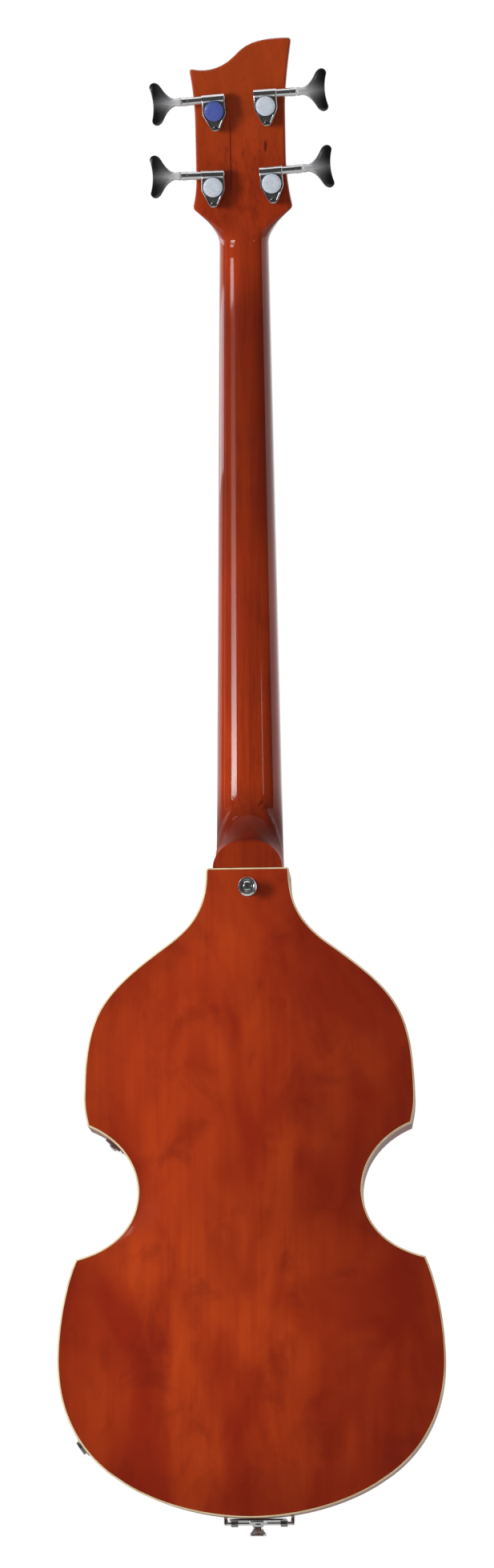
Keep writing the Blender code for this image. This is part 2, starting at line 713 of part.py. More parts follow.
def tongue_rings():
    """The wood between the fretboard's end and the top, which clears the arch."""
    rings = []
    end = BOARD_END * math.cos(NECK_TILT) + JOINT_Z
    steps = 5
    for step in range(-1, steps + 1):
        below = end * step / steps if step >= 0 else -PASS * 4
        half = neck_half(JOINT + below) - GAP
        front = plane_level(-below)
        share = max(below, 0) / SPINE_TOP
        back = TOP_EDGE - TOP_ARCH * arch_share(min(share, 1)) - GAP * 2
        corners = ((-half, front), (half, front), (half, back), (-half, back))
        rings.append([(x, y, -below) for x, y in corners])
    return rings


def make_fretboard():
    """Fretboard with its frets as ridges."""
    stations = [(GAP, 0.0)]
    for number in range(1, FRET_COUNT + 1):
        place = fret(number)
        stations += [(place - FRET_WIDTH / 2, 0.0), (place, FRET_HEIGHT), (place + FRET_WIDTH / 2, 0.0)]
    stations.append((BOARD_END, 0.0))
    rings = []
    for distance, rise in stations:
        half = neck_half(distance)
        ring = [(-half, -GAP, -distance), (half, -GAP, -distance)]
        for x in (half, half / 3, -half / 3, -half):
            ring.append((x, -(BOARD_THICK - x * x / (2 * BOARD_RADIUS) + rise), -distance))
        rings.append(ring)
    piece("fretboard", lofted(rings), ROSEWOOD, NECK_FRAME)


def string_places(spread):
    """The strings' places across, from bass to treble."""
    return [spread * (index / 3 - 0.5) for index in range(4)]


def nut_string_level(radius):
    return -(BOARD_THICK + FRET_HEIGHT + NUT_LIFT + radius)


def saddle_string(x, radius):
    """A string's centre over the saddle, in the body's frame."""
    point = NECK_MATRIX @ Vector((x, -(BOARD_THICK + FRET_HEIGHT + BRIDGE_LIFT + radius), -SCALE_LENGTH))
    return Vector((point.x, point.y, point.z - JOINT_Z))


def bar_string(x):
    """A string's centre in the tailpiece's bar, in the body's frame."""
    return Vector((x + TAIL_SHIFT, TOP_EDGE - BAR_FRONT + BAR_THICK * BAR_STRING, -BAR_BELOW))


def string_slot(x, wide, floor, reach, fall):
    """Cutter for a slot open to the front; its floor falls away on the side where reach points."""
    profile = ((-FAR, -reach), (floor, -reach), (floor, 0), (floor + fall, reach), (-FAR, reach))
    return lofted([[(side, y, z) for y, z in profile] for side in (x - wide, x + wide)])


def make_nut():
    """Nut with a slot for each string."""
    half = neck_half(0)
    crown = -nut_string_level(STRING_RADII[0]) + NUT_CROWN
    nut = piece("nut", block((-half, -crown, 0), (half, -GAP, NUT_THICK - GAP)), IVORY, NECK_FRAME)
    soften(nut, NUT_EDGE)
    reach = NUT_THICK / 2 + PASS
    for x, radius in zip(string_places(NUT_SPREAD), STRING_RADII):
        floor = nut_string_level(radius) + radius + GAP
        slot = string_slot(x, radius + GAP * 2, floor, reach, reach * math.tan(HEAD_PITCH))
        combine(nut, "DIFFERENCE", slot, NECK_FRAME, (0, 0, NUT_THICK / 2))


def make_strings():
    """Strings from their ball ends over saddle and nut to the tuning posts."""
    for index, name in enumerate(STRING_NAMES):
        radius = STRING_RADII[index]
        over_bar = BODY_MATRIX @ bar_string(string_places(TAIL_SPREAD)[index])
        over_saddle = BODY_MATRIX @ saddle_string(string_places(BRIDGE_SPREAD)[index], radius)
        nut_x = string_places(NUT_SPREAD)[index]
        over_nut = NECK_MATRIX @ Vector((nut_x, nut_string_level(radius), NUT_THICK / 2))
        _, post_x, post_height, _, wind_level = TUNER_PLACES[index]
        side = 1 if post_x < 0 else -1
        beside = WIND_CORE + 3 * radius + GAP
        at_post = HEAD_MATRIX @ Vector((post_x + side * beside, -wind_level - STRING_RISE, post_height))
        along = (over_bar - over_saddle).normalized()
        ball = over_bar + along * (BAR_LENGTH / 2 + BALL_RADIUS * 0.3 + GAP)
        points = [ball + along * BALL_LENGTH, ball, ball - along * STEP, over_saddle, over_nut, at_post]
        radii = [BALL_RADIUS, BALL_RADIUS] + [radius] * 4
        piece(f"string_{name}", swept(points, radii, STRING_SIDES), STEEL)


def make_body():
    """Back, top, bindings, ribs with their linings, and the two blocks."""
    piece("back_plate", arched_plate(PLATE_OUTLINE, RIM_BACK, 1, BACK_ARCH), AMBER, BODY_FRAME)
    top = piece("top_plate", arched_plate(PLATE_OUTLINE, RIM_FRONT, -1, TOP_ARCH), AMBER, BODY_FRAME)
    for below in (NECK_PICKUP_BELOW, BRIDGE_PICKUP_BELOW):
        half_x = PICKUP_HALF + PASS
        half_z = PICKUP_LENGTH / 2 + PASS
        window = block((-half_x, -FAR, -below - half_z), (half_x, RIM_MIDDLE, -below + half_z))
        combine(top, "DIFFERENCE", window, BODY_FRAME)
    cavity = rounded_box(PANEL_HALF - PANEL_LAP, PANEL_WIDTH / 2 - PANEL_LAP, PANEL_CORNER - PANEL_WALL / 2)
    combine(top, "DIFFERENCE", extruded(cavity, -PANEL_REACH, PANEL_REACH), PANEL_FRAME)
    for name, base, outward in (("back_binding", RIM_BACK, 1), ("top_binding", RIM_FRONT, -1)):
        edge = base + outward * PLATE_EDGE
        wall = ring_section(OUTLINE, ((0, base), (0, edge), (BINDING_WIDTH, edge), (BINDING_WIDTH, base)))
        piece(name, wall, IVORY, BODY_FRAME)
    front = RIM_FRONT + GAP
    back = RIM_BACK - GAP
    section = (
        (0, front), (0, back), (LINING_THICK, back), (RIB_THICK, back - LINING_HEIGHT),
        (RIB_THICK, front + LINING_HEIGHT), (LINING_THICK, front),
    )
    rim = piece("rim", ring_section(OUTLINE, section), IVORY, BODY_FRAME)
    tenon_front = RIM_FRONT + TENON_FRONT
    mortise = block((-TENON_HALF - GAP, tenon_front - GAP, -TENON_LENGTH - GAP),
                    (TENON_HALF + GAP, tenon_front + TENON_DEPTH + GAP, PASS))
    combine(rim, "DIFFERENCE", mortise, BODY_FRAME)
    jack_hole = turned([(JACK_BARREL + GAP, -JACK_DEPTH), (JACK_BARREL + GAP, JACK_DEPTH)], 16)
    combine(rim, "DIFFERENCE", jack_hole, JACK_FRAME)
    within = inset(OUTLINE, LINING_THICK + GAP)
    inside = lofted([level(within, front), level(within, back)])
    neck_block = piece("neck_block", inside, MAPLE, BODY_FRAME)
    block_low = (-NECK_BLOCK_HALF, -FAR, -NECK_BLOCK_LENGTH)
    block_high = (NECK_BLOCK_HALF, FAR, PASS)
    combine(neck_block, "INTERSECT", block(block_low, block_high), BODY_FRAME)
    combine(neck_block, "DIFFERENCE", mortise, BODY_FRAME)
    tail_block = piece("tail_block", inside, MAPLE, BODY_FRAME)
    tail_low = (-TAIL_BLOCK_HALF, -FAR, -BODY_LENGTH)
    tail_high = (TAIL_BLOCK_HALF, FAR, -BODY_LENGTH + LINING_THICK + TAIL_BLOCK_LENGTH)
    combine(tail_block, "INTERSECT", block(tail_low, tail_high), BODY_FRAME)


def strap_button(name, parent, location, rotation, stretch=1.0):
    """Flared strap button with the head of its screw in a dish."""
    height = BUTTON_HEIGHT * stretch
    profile = [
        (BUTTON_BASE, 0), (BUTTON_BASE, height * 0.12), (BUTTON_WAIST, height * 0.36),
        (BUTTON_WAIST * 1.1, height * 0.62), (BUTTON_TOP, height * 0.86), (BUTTON_TOP, height),
        (BUTTON_DISH, height), (BUTTON_SCREW, height * 0.9), (BUTTON_SCREW * 0.8, height * 0.97),
    ]
    piece(name, turned(profile, 14), CHROME, parent, location, rotation)


def make_bridge():
    """Bridge base on the arch with its studs, two thumbwheels and the saddle."""
    saddle_place = saddle_string(0, STRING_RADII[0])
    below = -saddle_place.z
    base_front = arch_level(0, below) - BRIDGE_BASE_HEIGHT
    half = BRIDGE_BASE_DEPTH / 2
    base = piece("bridge_base", block((-BRIDGE_BASE_HALF, base_front, -below - half),
                                      (BRIDGE_BASE_HALF, TOP_EDGE, -below + half)), ROSEWOOD, BODY_FRAME)
    combine(base, "DIFFERENCE", arch_over(GAP), BODY_FRAME)
    wheel_back = base_front - GAP - BRIDGE_DROP
    saddle_back = wheel_back - WHEEL_THICK - GAP
    stud_front = saddle_back - STUD_ENTRY
    saddle_front = saddle_place.y + STRING_RADII[0] + GAP - SADDLE_CROWN
    treble_half = [(SADDLE_HALF, saddle_back), (SADDLE_HALF, saddle_front + SADDLE_SHOULDER),
                   (BRIDGE_SPREAD / 2 + SADDLE_SHOULDER, saddle_front)]
    profile = treble_half + [(-x, y) for x, y in reversed(treble_half)]
    half = SADDLE_DEPTH / 2
    rings = [[(x, y, -below + z) for x, y in profile] for z in (-half, half)]
    saddle = piece("bridge_saddle", lofted(rings), ROSEWOOD, BODY_FRAME)
    reach = half + PASS
    for x, radius in zip(string_places(BRIDGE_SPREAD), STRING_RADII):
        wide = radius + GAP
        place = saddle_string(x, radius)
        tail = bar_string(x)
        fall = (tail.y - place.y) / (place.z - tail.z) * reach
        notch = string_slot(x, wide + GAP, place.y + wide, -reach, fall)
        combine(saddle, "DIFFERENCE", notch, BODY_FRAME, (0, 0, place.z))
    for side, name in ((-1, "bass"), (1, "treble")):
        x = side * STUD_HALF
        quarter = (math.pi / 2, 0, 0)
        stud = turned([(STUD_RADIUS, -PASS), (STUD_RADIUS, base_front - stud_front)], 12)
        combine(base, "UNION", stud, BODY_FRAME, (x, base_front, -below), quarter)
        hole = turned([(STUD_RADIUS + GAP, -PASS), (STUD_RADIUS + GAP, STUD_ENTRY + BRIDGE_DROP + GAP)], 12)
        combine(saddle, "DIFFERENCE", hole, BODY_FRAME, (x, saddle_back, -below), quarter)
        bore = STUD_RADIUS + RUN
        wheel = [(bore, 0), (WHEEL_RADIUS, 0), (WHEEL_RADIUS, WHEEL_THICK), (bore, WHEEL_THICK)]
        piece(f"bridge_thumbwheel_{name}", turned(wheel, 14, hollow=True), BRASS, BODY_FRAME,
              (x, wheel_back, -below), quarter)


def make_tailpiece():
    """Bracket on the tail and the trapeze that hangs in its knuckles."""
    hinge_y = TOP_EDGE - KNUCKLE_RADIUS
    hinge_z = -(BODY_LENGTH + GAP + KNUCKLE_RADIUS)
    low = (TAIL_SHIFT - BRACKET_HALF, hinge_y, -(BODY_LENGTH + GAP + BRACKET_THICK))
    high = (TAIL_SHIFT + BRACKET_HALF, TOP_EDGE + BRACKET_DEPTH, -(BODY_LENGTH + GAP))
    bracket = piece("tailpiece_bracket", block(low, high), CHROME, BODY_FRAME)
    sideways = (0, math.pi / 2, 0)
    for side in (-1, 1):
        middle = TAIL_SHIFT + side * KNUCKLE_HALF
        tube = turned([(KNUCKLE_RADIUS, -KNUCKLE_LENGTH / 2), (KNUCKLE_RADIUS, KNUCKLE_LENGTH / 2)], 12)
        combine(bracket, "UNION", tube, BODY_FRAME, (middle, hinge_y, hinge_z), sideways)
    relief_half = KNUCKLE_HALF - KNUCKLE_LENGTH / 2
    clear = KNUCKLE_RADIUS + PASS
    relief = block((TAIL_SHIFT - relief_half, hinge_y - clear, hinge_z - clear),
                   (TAIL_SHIFT + relief_half, hinge_y + clear, hinge_z + clear))
    combine(bracket, "DIFFERENCE", relief, BODY_FRAME)
    bore = turned([(HINGE_ROD_RADIUS + RUN, -FAR), (HINGE_ROD_RADIUS + RUN, FAR)], 10)
    combine(bracket, "DIFFERENCE", bore, BODY_FRAME, (TAIL_SHIFT, hinge_y, hinge_z), sideways)

    bar_y = TOP_EDGE - BAR_FRONT
    bar_low = (TAIL_SHIFT - BAR_HALF, bar_y, -BAR_BELOW - BAR_LENGTH / 2)
    bar_high = (TAIL_SHIFT + BAR_HALF, bar_y + BAR_THICK, -BAR_BELOW + BAR_LENGTH / 2)
    tailpiece = piece("tailpiece", block(bar_low, bar_high), CHROME, BODY_FRAME)
    soften(tailpiece, BAR_EDGE)
    arm_end = BAR_HALF - ARM_RADIUS - BAR_EDGE
    rod = [(TAIL_SHIFT - HINGE_HALF, hinge_y, hinge_z), (TAIL_SHIFT + HINGE_HALF, hinge_y, hinge_z)]
    combine(tailpiece, "UNION", swept(rod, [HINGE_ROD_RADIUS] * 2, 8), BODY_FRAME)
    for side in (-1, 1):
        points = [(TAIL_SHIFT + side * arm_end, bar_y + BAR_THICK / 2, -BAR_BELOW),
                  (TAIL_SHIFT + side * HINGE_HALF, hinge_y - PASS, hinge_z + ARM_TURN),
                  (TAIL_SHIFT + side * HINGE_HALF, hinge_y, hinge_z - ARM_RADIUS)]
        combine(tailpiece, "UNION", swept(points, [ARM_RADIUS] * 3, 8), BODY_FRAME)
    for x, radius in zip(string_places(TAIL_SPREAD), STRING_RADII):
        place = bar_string(x)
        wide = radius + GAP * 2
        depth = place.y + wide + BAR_EDGE
        slot = block((place.x - wide, -FAR, -BAR_BELOW - BAR_LENGTH),
                     (place.x + wide, depth, -BAR_BELOW + BAR_LENGTH))
        combine(tailpiece, "DIFFERENCE", slot, BODY_FRAME)
    place = (TAIL_SHIFT, RIM_MIDDLE, -(BODY_LENGTH + GAP * 2 + BRACKET_THICK))
    strap_button("tail_strap_button", BODY_FRAME, place, (math.pi, 0, 0))


def string_level(below):
    """Level of the strings' undersides at a distance below the collar, at the centre."""
    nut = NECK_MATRIX @ Vector((0, nut_string_level(0), 0))
    saddle = saddle_string(0, 0)
    share = (nut.z - (JOINT_Z - below)) / (nut.z - (JOINT_Z + saddle.z))
    return nut.y + (saddle.y - nut.y) * share


def make_pickup(name, below):
    """Pickup in its ring, which sits on the arch."""
    cover = string_level(below) + PICKUP_DROP
    outline = rounded_box(PICKUP_HALF, PICKUP_LENGTH / 2, PICKUP_CORNER, 2)
    flat = (math.pi / 2, 0, 0)
    place = (0, cover, -below)
    pickup = piece(f"{name}_pickup", extruded(outline, -PICKUP_HEIGHT, 0), CHROME, BODY_FRAME, place, flat)
    for x in string_places(BRIDGE_SPREAD):
        pole = turned([(POLE_RADIUS, -PASS), (POLE_RADIUS, POLE_HEIGHT)], 8)
        combine(pickup, "UNION", pole, BODY_FRAME, (x, cover, -below), flat)
    top = cover + RING_DROP
    outer = rounded_box(PICKUP_HALF + RING_BORDER, RING_HALF, PICKUP_CORNER * 2, 2)
    inner = rounded_box(PICKUP_HALF + GAP, PICKUP_LENGTH / 2 + GAP, PICKUP_CORNER + GAP, 2)
    depth = TOP_EDGE - top
    section = ((outer, 0), (outer, -depth), (inner, -depth), (inner, 0))
    rings = [[(x, y, z) for x, y in line] for line, z in section]
    ring = piece(f"{name}_pickup_ring", lofted(rings, closed=True), BLACK, BODY_FRAME, (0, top, -below), flat)
    combine(ring, "DIFFERENCE", arch_over(GAP), BODY_FRAME)


def panel_placement():
    """Place and turn of the control panel, tangent to the arch."""
    step = PANEL_WIDTH / 3
    centre = Vector((PANEL_X, arch_level(PANEL_X, PANEL_BELOW), -PANEL_BELOW))
    slope_x = arch_level(PANEL_X + step, PANEL_BELOW) - arch_level(PANEL_X - step, PANEL_BELOW)
    slope_z = arch_level(PANEL_X, PANEL_BELOW - step) - arch_level(PANEL_X, PANEL_BELOW + step)
    across = Vector((2 * step, slope_x, 0))
    up = Vector((0, slope_z, 2 * step))
    normal = across.cross(up).normalized()
    if normal.y > 0:
        normal = -normal
    along = (Matrix.Rotation(PANEL_TURN, 3, normal) @ (up - normal * up.dot(normal))).normalized()
    side = along.cross(normal)
    turn = Matrix((along, -side, normal)).transposed()
    return centre + normal * RUN, turn.to_euler()


def jack_placement():
    """Place and turn of the output jack on the treble side of the lower bout."""
    point, outward = outline_place(JACK_BELOW)
    tilt = math.atan2(outward.x, -outward.y)
    return (point.x, RIM_MIDDLE, -point.y), (0, tilt, 0)


PANEL_LOCATION, PANEL_ROTATION = panel_placement()
PANEL_FRAME = frame("panel_frame", PANEL_LOCATION, PANEL_ROTATION, BODY_FRAME)
JACK_LOCATION, JACK_ROTATION = jack_placement()
JACK_FRAME = frame("jack_frame", JACK_LOCATION, JACK_ROTATION, BODY_FRAME)


def make_controls():
    """Panel with its two volume pots and knobs, and three slide switches."""
    outline = rounded_box(PANEL_HALF, PANEL_WIDTH / 2, PANEL_CORNER)
    panel = piece("control_plate", extruded(outline, -PANEL_SKIRT, PANEL_THICK), PEARL, PANEL_FRAME)
    combine(panel, "DIFFERENCE", arch_over(GAP), BODY_FRAME)
    under = rounded_box(PANEL_HALF - PANEL_WALL, PANEL_WIDTH / 2 - PANEL_WALL, PANEL_CORNER - PANEL_WALL / 2)
    combine(panel, "DIFFERENCE", extruded(under, -PANEL_REACH, 0), PANEL_FRAME)
    for side, name in ((1, "neck"), (-1, "bridge")):
        place = (side * KNOB_SPACING, 0, 0)
        hole = turned([(BUSH_RADIUS + GAP, -PANEL_SKIRT), (BUSH_RADIUS + GAP, PANEL_SKIRT)], 14)
        combine(panel, "DIFFERENCE", hole, PANEL_FRAME, place)
        bore = SHAFT_RADIUS + RUN
        floor = -GAP - POT_DEPTH
        seat = floor + POT_FLOOR
        bush_top = PANEL_THICK + BUSH_RISE
        pot = [(POT_RADIUS, floor), (POT_RADIUS, -GAP), (BUSH_RADIUS, -GAP), (BUSH_RADIUS, bush_top),
               (bore, bush_top), (bore, seat), (POT_TIP, seat)]
        piece(f"volume_pot_{name}", turned(pot, 12), STEEL, PANEL_FRAME, place)
        low = bush_top + RUN
        knob = [(SHAFT_RADIUS, seat + GAP), (SHAFT_RADIUS, low), (KNOB_RADIUS, low),
                (KNOB_RADIUS, low + KNOB_HEIGHT * 0.3), (KNOB_RADIUS * 0.72, low + KNOB_HEIGHT * 0.42),
                (KNOB_RADIUS * 0.66, low + KNOB_HEIGHT * 0.9), (KNOB_RADIUS * 0.55, low + KNOB_HEIGHT)]
        piece(f"volume_knob_{name}", turned(knob, 14), PEARL, PANEL_FRAME, place)
    for index, name in enumerate(("treble", "bass", "solo")):
        centre = SWITCH_SPACING * (1 - index)
        slot_half = (SLIDER_LENGTH + SWITCH_TRAVEL) / 2 + GAP
        wide = SLIDER_WIDTH / 2 + GAP
        long = slot_half + BEZEL
        across = wide + BEZEL
        bezel = block((centre - long, -across, PANEL_THICK / 2),
                      (centre + long, across, PANEL_THICK + BEZEL_RISE))
        combine(panel, "UNION", bezel, PANEL_FRAME)
        slot = block((centre - slot_half, -wide, -PANEL_SKIRT), (centre + slot_half, wide, PANEL_SKIRT))
        combine(panel, "DIFFERENCE", slot, PANEL_FRAME)
        half = SLIDER_LENGTH / 2
        top = PANEL_THICK + SLIDER_HEIGHT
        slider = block((-half, -SLIDER_WIDTH / 2, -SLIDER_ROOT), (half, SLIDER_WIDTH / 2, top))
        piece(f"switch_slider_{name}", slider, BLACK, PANEL_FRAME, (centre - SWITCH_TRAVEL / 2, 0, 0))


def make_pickguard():
    """Floating pickguard with its spacer, and the strip that carries it on the rib of the C-bout."""
    under = TOP_EDGE - GUARD_FRONT
    inner = GUARD_INNER
    outline = [(inner, GUARD_TOP), (inner, GUARD_LOW)]
    low_corner = (inner + GUARD_ROUND, GUARD_LOW + GUARD_ROUND)
    top_corner = (inner + GUARD_ROUND, GUARD_TOP - GUARD_ROUND)
    outline += bent(low_corner, GUARD_WAIST, (0.9, 0.0), (0.86, 0.44), 5)
    outline += bent(GUARD_WAIST, GUARD_LOBE, (0.05, 0.40), (0.98, 0.66), 6)
    outline += bent(GUARD_LOBE, top_corner, (0.0, 0.52), (0.60, 1.0), 7)
    rings = [[(x, y, -below) for x, below in outline] for y in (under, under - GUARD_THICK)]
    guard = piece("pickguard", lofted(rings), PEARL, BODY_FRAME)
    foot = arch_level(SPACER_PLACE[0] - SPACER_RADIUS, SPACER_PLACE[1]) - GAP * 2
    spacer = turned([(SPACER_RADIUS, -PASS), (SPACER_RADIUS, foot - under)], 12)
    place = (SPACER_PLACE[0], under, -SPACER_PLACE[1])
    combine(guard, "UNION", spacer, BODY_FRAME, place, (-math.pi / 2, 0, 0))

    point, outward = outline_place(BRACKET_BELOW)
    outward = Vector((outward.x, 0, -outward.y))
    along = Vector((outward.z, 0, -outward.x))
    strip_front = under + GAP
    profile = [(GAP, strip_front + STRIP_THICK), (GAP, strip_front + STRIP_THICK + STRIP_FOOT),
               (GAP + STRIP_THICK, strip_front + STRIP_THICK + STRIP_FOOT), (GAP + STRIP_THICK, strip_front),
               (-STRIP_REACH, strip_front), (-STRIP_REACH, strip_front + STRIP_THICK)]
    base = Vector((point.x, 0, -point.y))
    rings = [[base + along * side + outward * out + Vector((0, y, 0)) for out, y in profile]
             for side in (-STRIP_WIDTH / 2, STRIP_WIDTH / 2)]
    strip = piece("pickguard_bracket", lofted(rings), CHROME, BODY_FRAME)
    turn = outward.to_track_quat("Z", "Y").to_euler()
    dome = [(STRIP_SCREW_RADIUS, -STRIP_THICK / 2), (STRIP_SCREW_RADIUS, STRIP_SCREW_RISE / 2),
            (STRIP_SCREW_RADIUS / 2, STRIP_SCREW_RISE)]
    for depth in STRIP_SCREWS:
        head = turned(dome, 12)
        place = base + outward * (GAP + STRIP_THICK) + Vector((0, strip_front + depth, 0))
        combine(strip, "UNION", head, BODY_FRAME, place, turn)


def make_jack():
    """Output jack: flange and nut outside the rib, barrel through it."""
    inside = -JACK_DEPTH
    flange = GAP + JACK_FLANGE_THICK
    end = flange + JACK_NUT_THICK
    profile = [(JACK_BARREL, inside), (JACK_BARREL, GAP), (JACK_FLANGE, GAP), (JACK_FLANGE, flange),
               (JACK_NUT, flange), (JACK_NUT, end), (JACK_BORE, end), (JACK_BORE, inside)]
    piece("output_jack", turned(profile, 14, hollow=True), CHROME, JACK_FRAME)


def make_truss_rod():
    """Truss rod with its adjusting nut, and its cover on the headstock."""
    profile = [(ROD_RADIUS, -(JOINT - ROD_END)), (ROD_RADIUS, NUT_THICK), (ROD_NUT_RADIUS, NUT_THICK),
               (ROD_NUT_RADIUS, NUT_THICK + ROD_NUT_LENGTH)]
    piece("truss_rod", turned(profile, 8), STEEL, NECK_FRAME, (0, ROD_DEPTH, 0))
    shoulder = (COVER_HALF, COVER_LENGTH / 3)
    half = [(COVER_HALF, COVER_FOOT)] + bent(shoulder, (0, COVER_LENGTH), (0.0, 0.5), (0.65, 0.95), 5)
    outline = half + [(0, COVER_LENGTH)] + [(-x, height) for x, height in reversed(half)]
    rings = [[(x, y, height) for x, height in outline] for y in (-GAP, -GAP - COVER_THICK)]
    piece("truss_rod_cover", lofted(rings), BLACK, HEAD_FRAME)


def housing_outline(tip):
    """Shield outline of a tuner's housing; tip is -1 or 1 for the way its screw end points."""
    half = [(HOUSING_HALF, -WORM_OFFSET), (HOUSING_HALF, HOUSING_SIDE)]
    for degrees in (25, 55, 90):
        turn = math.radians(degrees)
        x, y = HOUSING_TIP_RADIUS * math.cos(turn), HOUSING_TIP_RADIUS * math.sin(turn)
        half.append((x, HOUSING_SCREW + y))
    return [(x, tip * y) for x, y in half + [(-x, y) for x, y in reversed(half[:-1])]]


def make_housing(name, parent, tip):
    """Die-cast housing: shield with the gear's pocket, worm barrel, and the tube out to the button."""
    housing = piece(name, extruded(housing_outline(tip), GAP, HOUSING_HEIGHT), CHROME, parent)
    worm_place = (0, -tip * WORM_OFFSET, WORM_LEVEL)
    sideways = (0, math.pi / 2, 0)
    collar_start = TUBE_END - COLLAR_LENGTH
    barrel = [(BARREL_RADIUS, -HOUSING_HALF), (BARREL_RADIUS, HOUSING_HALF), (TUBE_RADIUS, HOUSING_HALF),
              (TUBE_RADIUS, collar_start), (COLLAR_RADIUS, collar_start), (COLLAR_RADIUS, TUBE_END)]
    combine(housing, "UNION", turned(barrel, 10), parent, worm_place, sideways)
    screw = turned([(SCREW_HEAD, -PASS), (SCREW_HEAD, SCREW_RISE / 2), (SCREW_HEAD / 2, SCREW_RISE)], 8)
    combine(housing, "UNION", screw, parent, (0, tip * HOUSING_SCREW, HOUSING_HEIGHT))
    pocket = turned([(POCKET_RADIUS, HOUSING_FLOOR), (POCKET_RADIUS, HOUSING_HEIGHT + PASS)], 14)
    combine(housing, "DIFFERENCE", pocket, parent)
    shoulder = HOUSING_HALF - WORM_LAND
    worm_bore, stem_bore = WORM_TIP + RUN, STEM_RADIUS + RUN
    chamber = [(worm_bore, -HOUSING_HALF - PASS), (worm_bore, shoulder), (stem_bore, shoulder),
               (stem_bore, TUBE_END + PASS)]
    combine(housing, "DIFFERENCE", turned(chamber, 8), parent, worm_place, sideways)
    post_hole = turned([(POST_NECK + RUN, -PASS), (POST_NECK + RUN, HOUSING_FLOOR + PASS)], 8)
    combine(housing, "DIFFERENCE", post_hole, parent)


def gear_outline():
    """Worm gear with a tooth space on its Y axis, where the worm's thread lies."""
    points = []
    for tooth in range(GEAR_TEETH):
        for share, radius in ((0.0, GEAR_ROOT), (0.5, GEAR_TIP)):
            turn = math.pi / 2 + 2 * math.pi * (tooth + share) / GEAR_TEETH
            points.append((radius * math.cos(turn), radius * math.sin(turn)))
    return points


def make_post(name, parent, tip, radius, wind_level):
    """String post with its gear, and the string's turns round it in front of the headstock."""
    gear_low = WORM_LEVEL - GEAR_THICK / 2
    start = -HEAD_THICK - wind_level
    profile = [(POST_NECK, gear_low + PASS), (POST_NECK, -POST_STEP), (POST_RADIUS, -POST_STEP),
               (POST_RADIUS, start), (WIND_CORE, start)]
    for turn in range(WIND_TURNS):
        top = start - 2 * radius * turn - MERGE_LENGTH
        for rise, depth in ((0.8, 0.1), (2.0, 1.0)):
            profile.append((WIND_CORE + rise * radius, top - depth * radius))
    end = start - 2 * radius * WIND_TURNS - MERGE_LENGTH * 2
    head = -HEAD_THICK - POST_FRONT
    profile += [(WIND_CORE, end), (WIND_CORE, head + POST_HEAD + POST_RADIUS - WIND_CORE),
                (POST_RADIUS, head + POST_HEAD), (POST_RADIUS, head)]
    post = piece(name, turned(profile, 10), CHROME, parent)
    outline = [(x, -tip * y) for x, y in gear_outline()]
    combine(post, "UNION", extruded(outline, gear_low, gear_low + GEAR_THICK), parent)


def make_worm_button(name, parent, tip):
    """Worm, its shaft and the fishtail button in one piece; its frame's X is the worm's axis."""
    inner_end = -HOUSING_HALF + GAP
    shoulder = HOUSING_HALF - WORM_LAND - GAP
    hub = TUBE_END + RUN
    profile = [
        (WORM_TIP, inner_end), (WORM_TIP, inner_end + WORM_LAND), (WORM_ROOT, inner_end + WORM_LAND),
        (WORM_ROOT, shoulder - WORM_LAND), (WORM_TIP, shoulder - WORM_LAND), (WORM_TIP, shoulder),
        (STEM_RADIUS, shoulder), (STEM_RADIUS, hub), (HUB_RADIUS, hub),
        (HUB_RADIUS * 0.9, hub + HUB_LENGTH * 0.4), (HUB_RADIUS * 0.5, hub + HUB_LENGTH * 2),
    ]
    button = piece(name, turned(profile, 8), CHROME, parent, (0, 0, 0), (0, math.pi / 2, 0))
    combine(button, "UNION", worm_thread(tip), parent)
    wing_start = hub + HUB_LENGTH * 0.2
    flare_end = (LOBE_REACH - LOBE_RADIUS * 0.95, LOBE_HALF + LOBE_RADIUS * 0.35)
    half = bent((wing_start, HUB_RADIUS * 0.9), flare_end, (0.45, 0.05), (0.80, 0.55), 4)
    for degrees in (160, 105, 50, -5):
        turn = math.radians(degrees)
        half.append((LOBE_REACH + LOBE_RADIUS * math.cos(turn), LOBE_HALF + LOBE_RADIUS * math.sin(turn)))
    half.append((BUTTON_HOLLOW + (LOBE_REACH + LOBE_RADIUS - BUTTON_HOLLOW) * 0.3, LOBE_HALF * 0.45))
    outline = half + [(BUTTON_HOLLOW, 0)] + [(x, -y) for x, y in reversed(half)]
    combine(button, "UNION", button_wings(outline), parent)


def button_wings(outline):
    """The button's wings, with edges that thin outwards."""
    edge = list(reversed(outline))
    rim = inset(edge, BUTTON_EDGE)
    thick = BUTTON_THICK / 2
    return lofted([[(x, y, z) for x, y in line] for line, z in
                   ((rim, -thick), (edge, -thick * 0.5), (edge, thick * 0.5), (rim, thick))])


def worm_thread(tip):
    """Single-start thread that faces the gear at its middle."""
    pitch = 2 * math.pi * GEAR_PITCH_RADIUS / GEAR_TEETH
    per_turn = 6
    half_base = pitch * 0.21
    sunk = WORM_ROOT - GAP * 2
    rings = []
    reach = WORM_TURNS * per_turn // 2
    for step in range(-reach, reach + 1):
        turn = 2 * math.pi * step / per_turn
        x = pitch * turn / (2 * math.pi)
        tall = WORM_TIP if abs(step) < reach else WORM_ROOT + MERGE_LENGTH
        ring = []
        for offset, radius in ((-half_base, sunk), (0, tall), (half_base, sunk)):
            ring.append((x + offset, tip * radius * math.cos(turn), radius * math.sin(turn)))
        rings.append(ring)
    return lofted(rings)


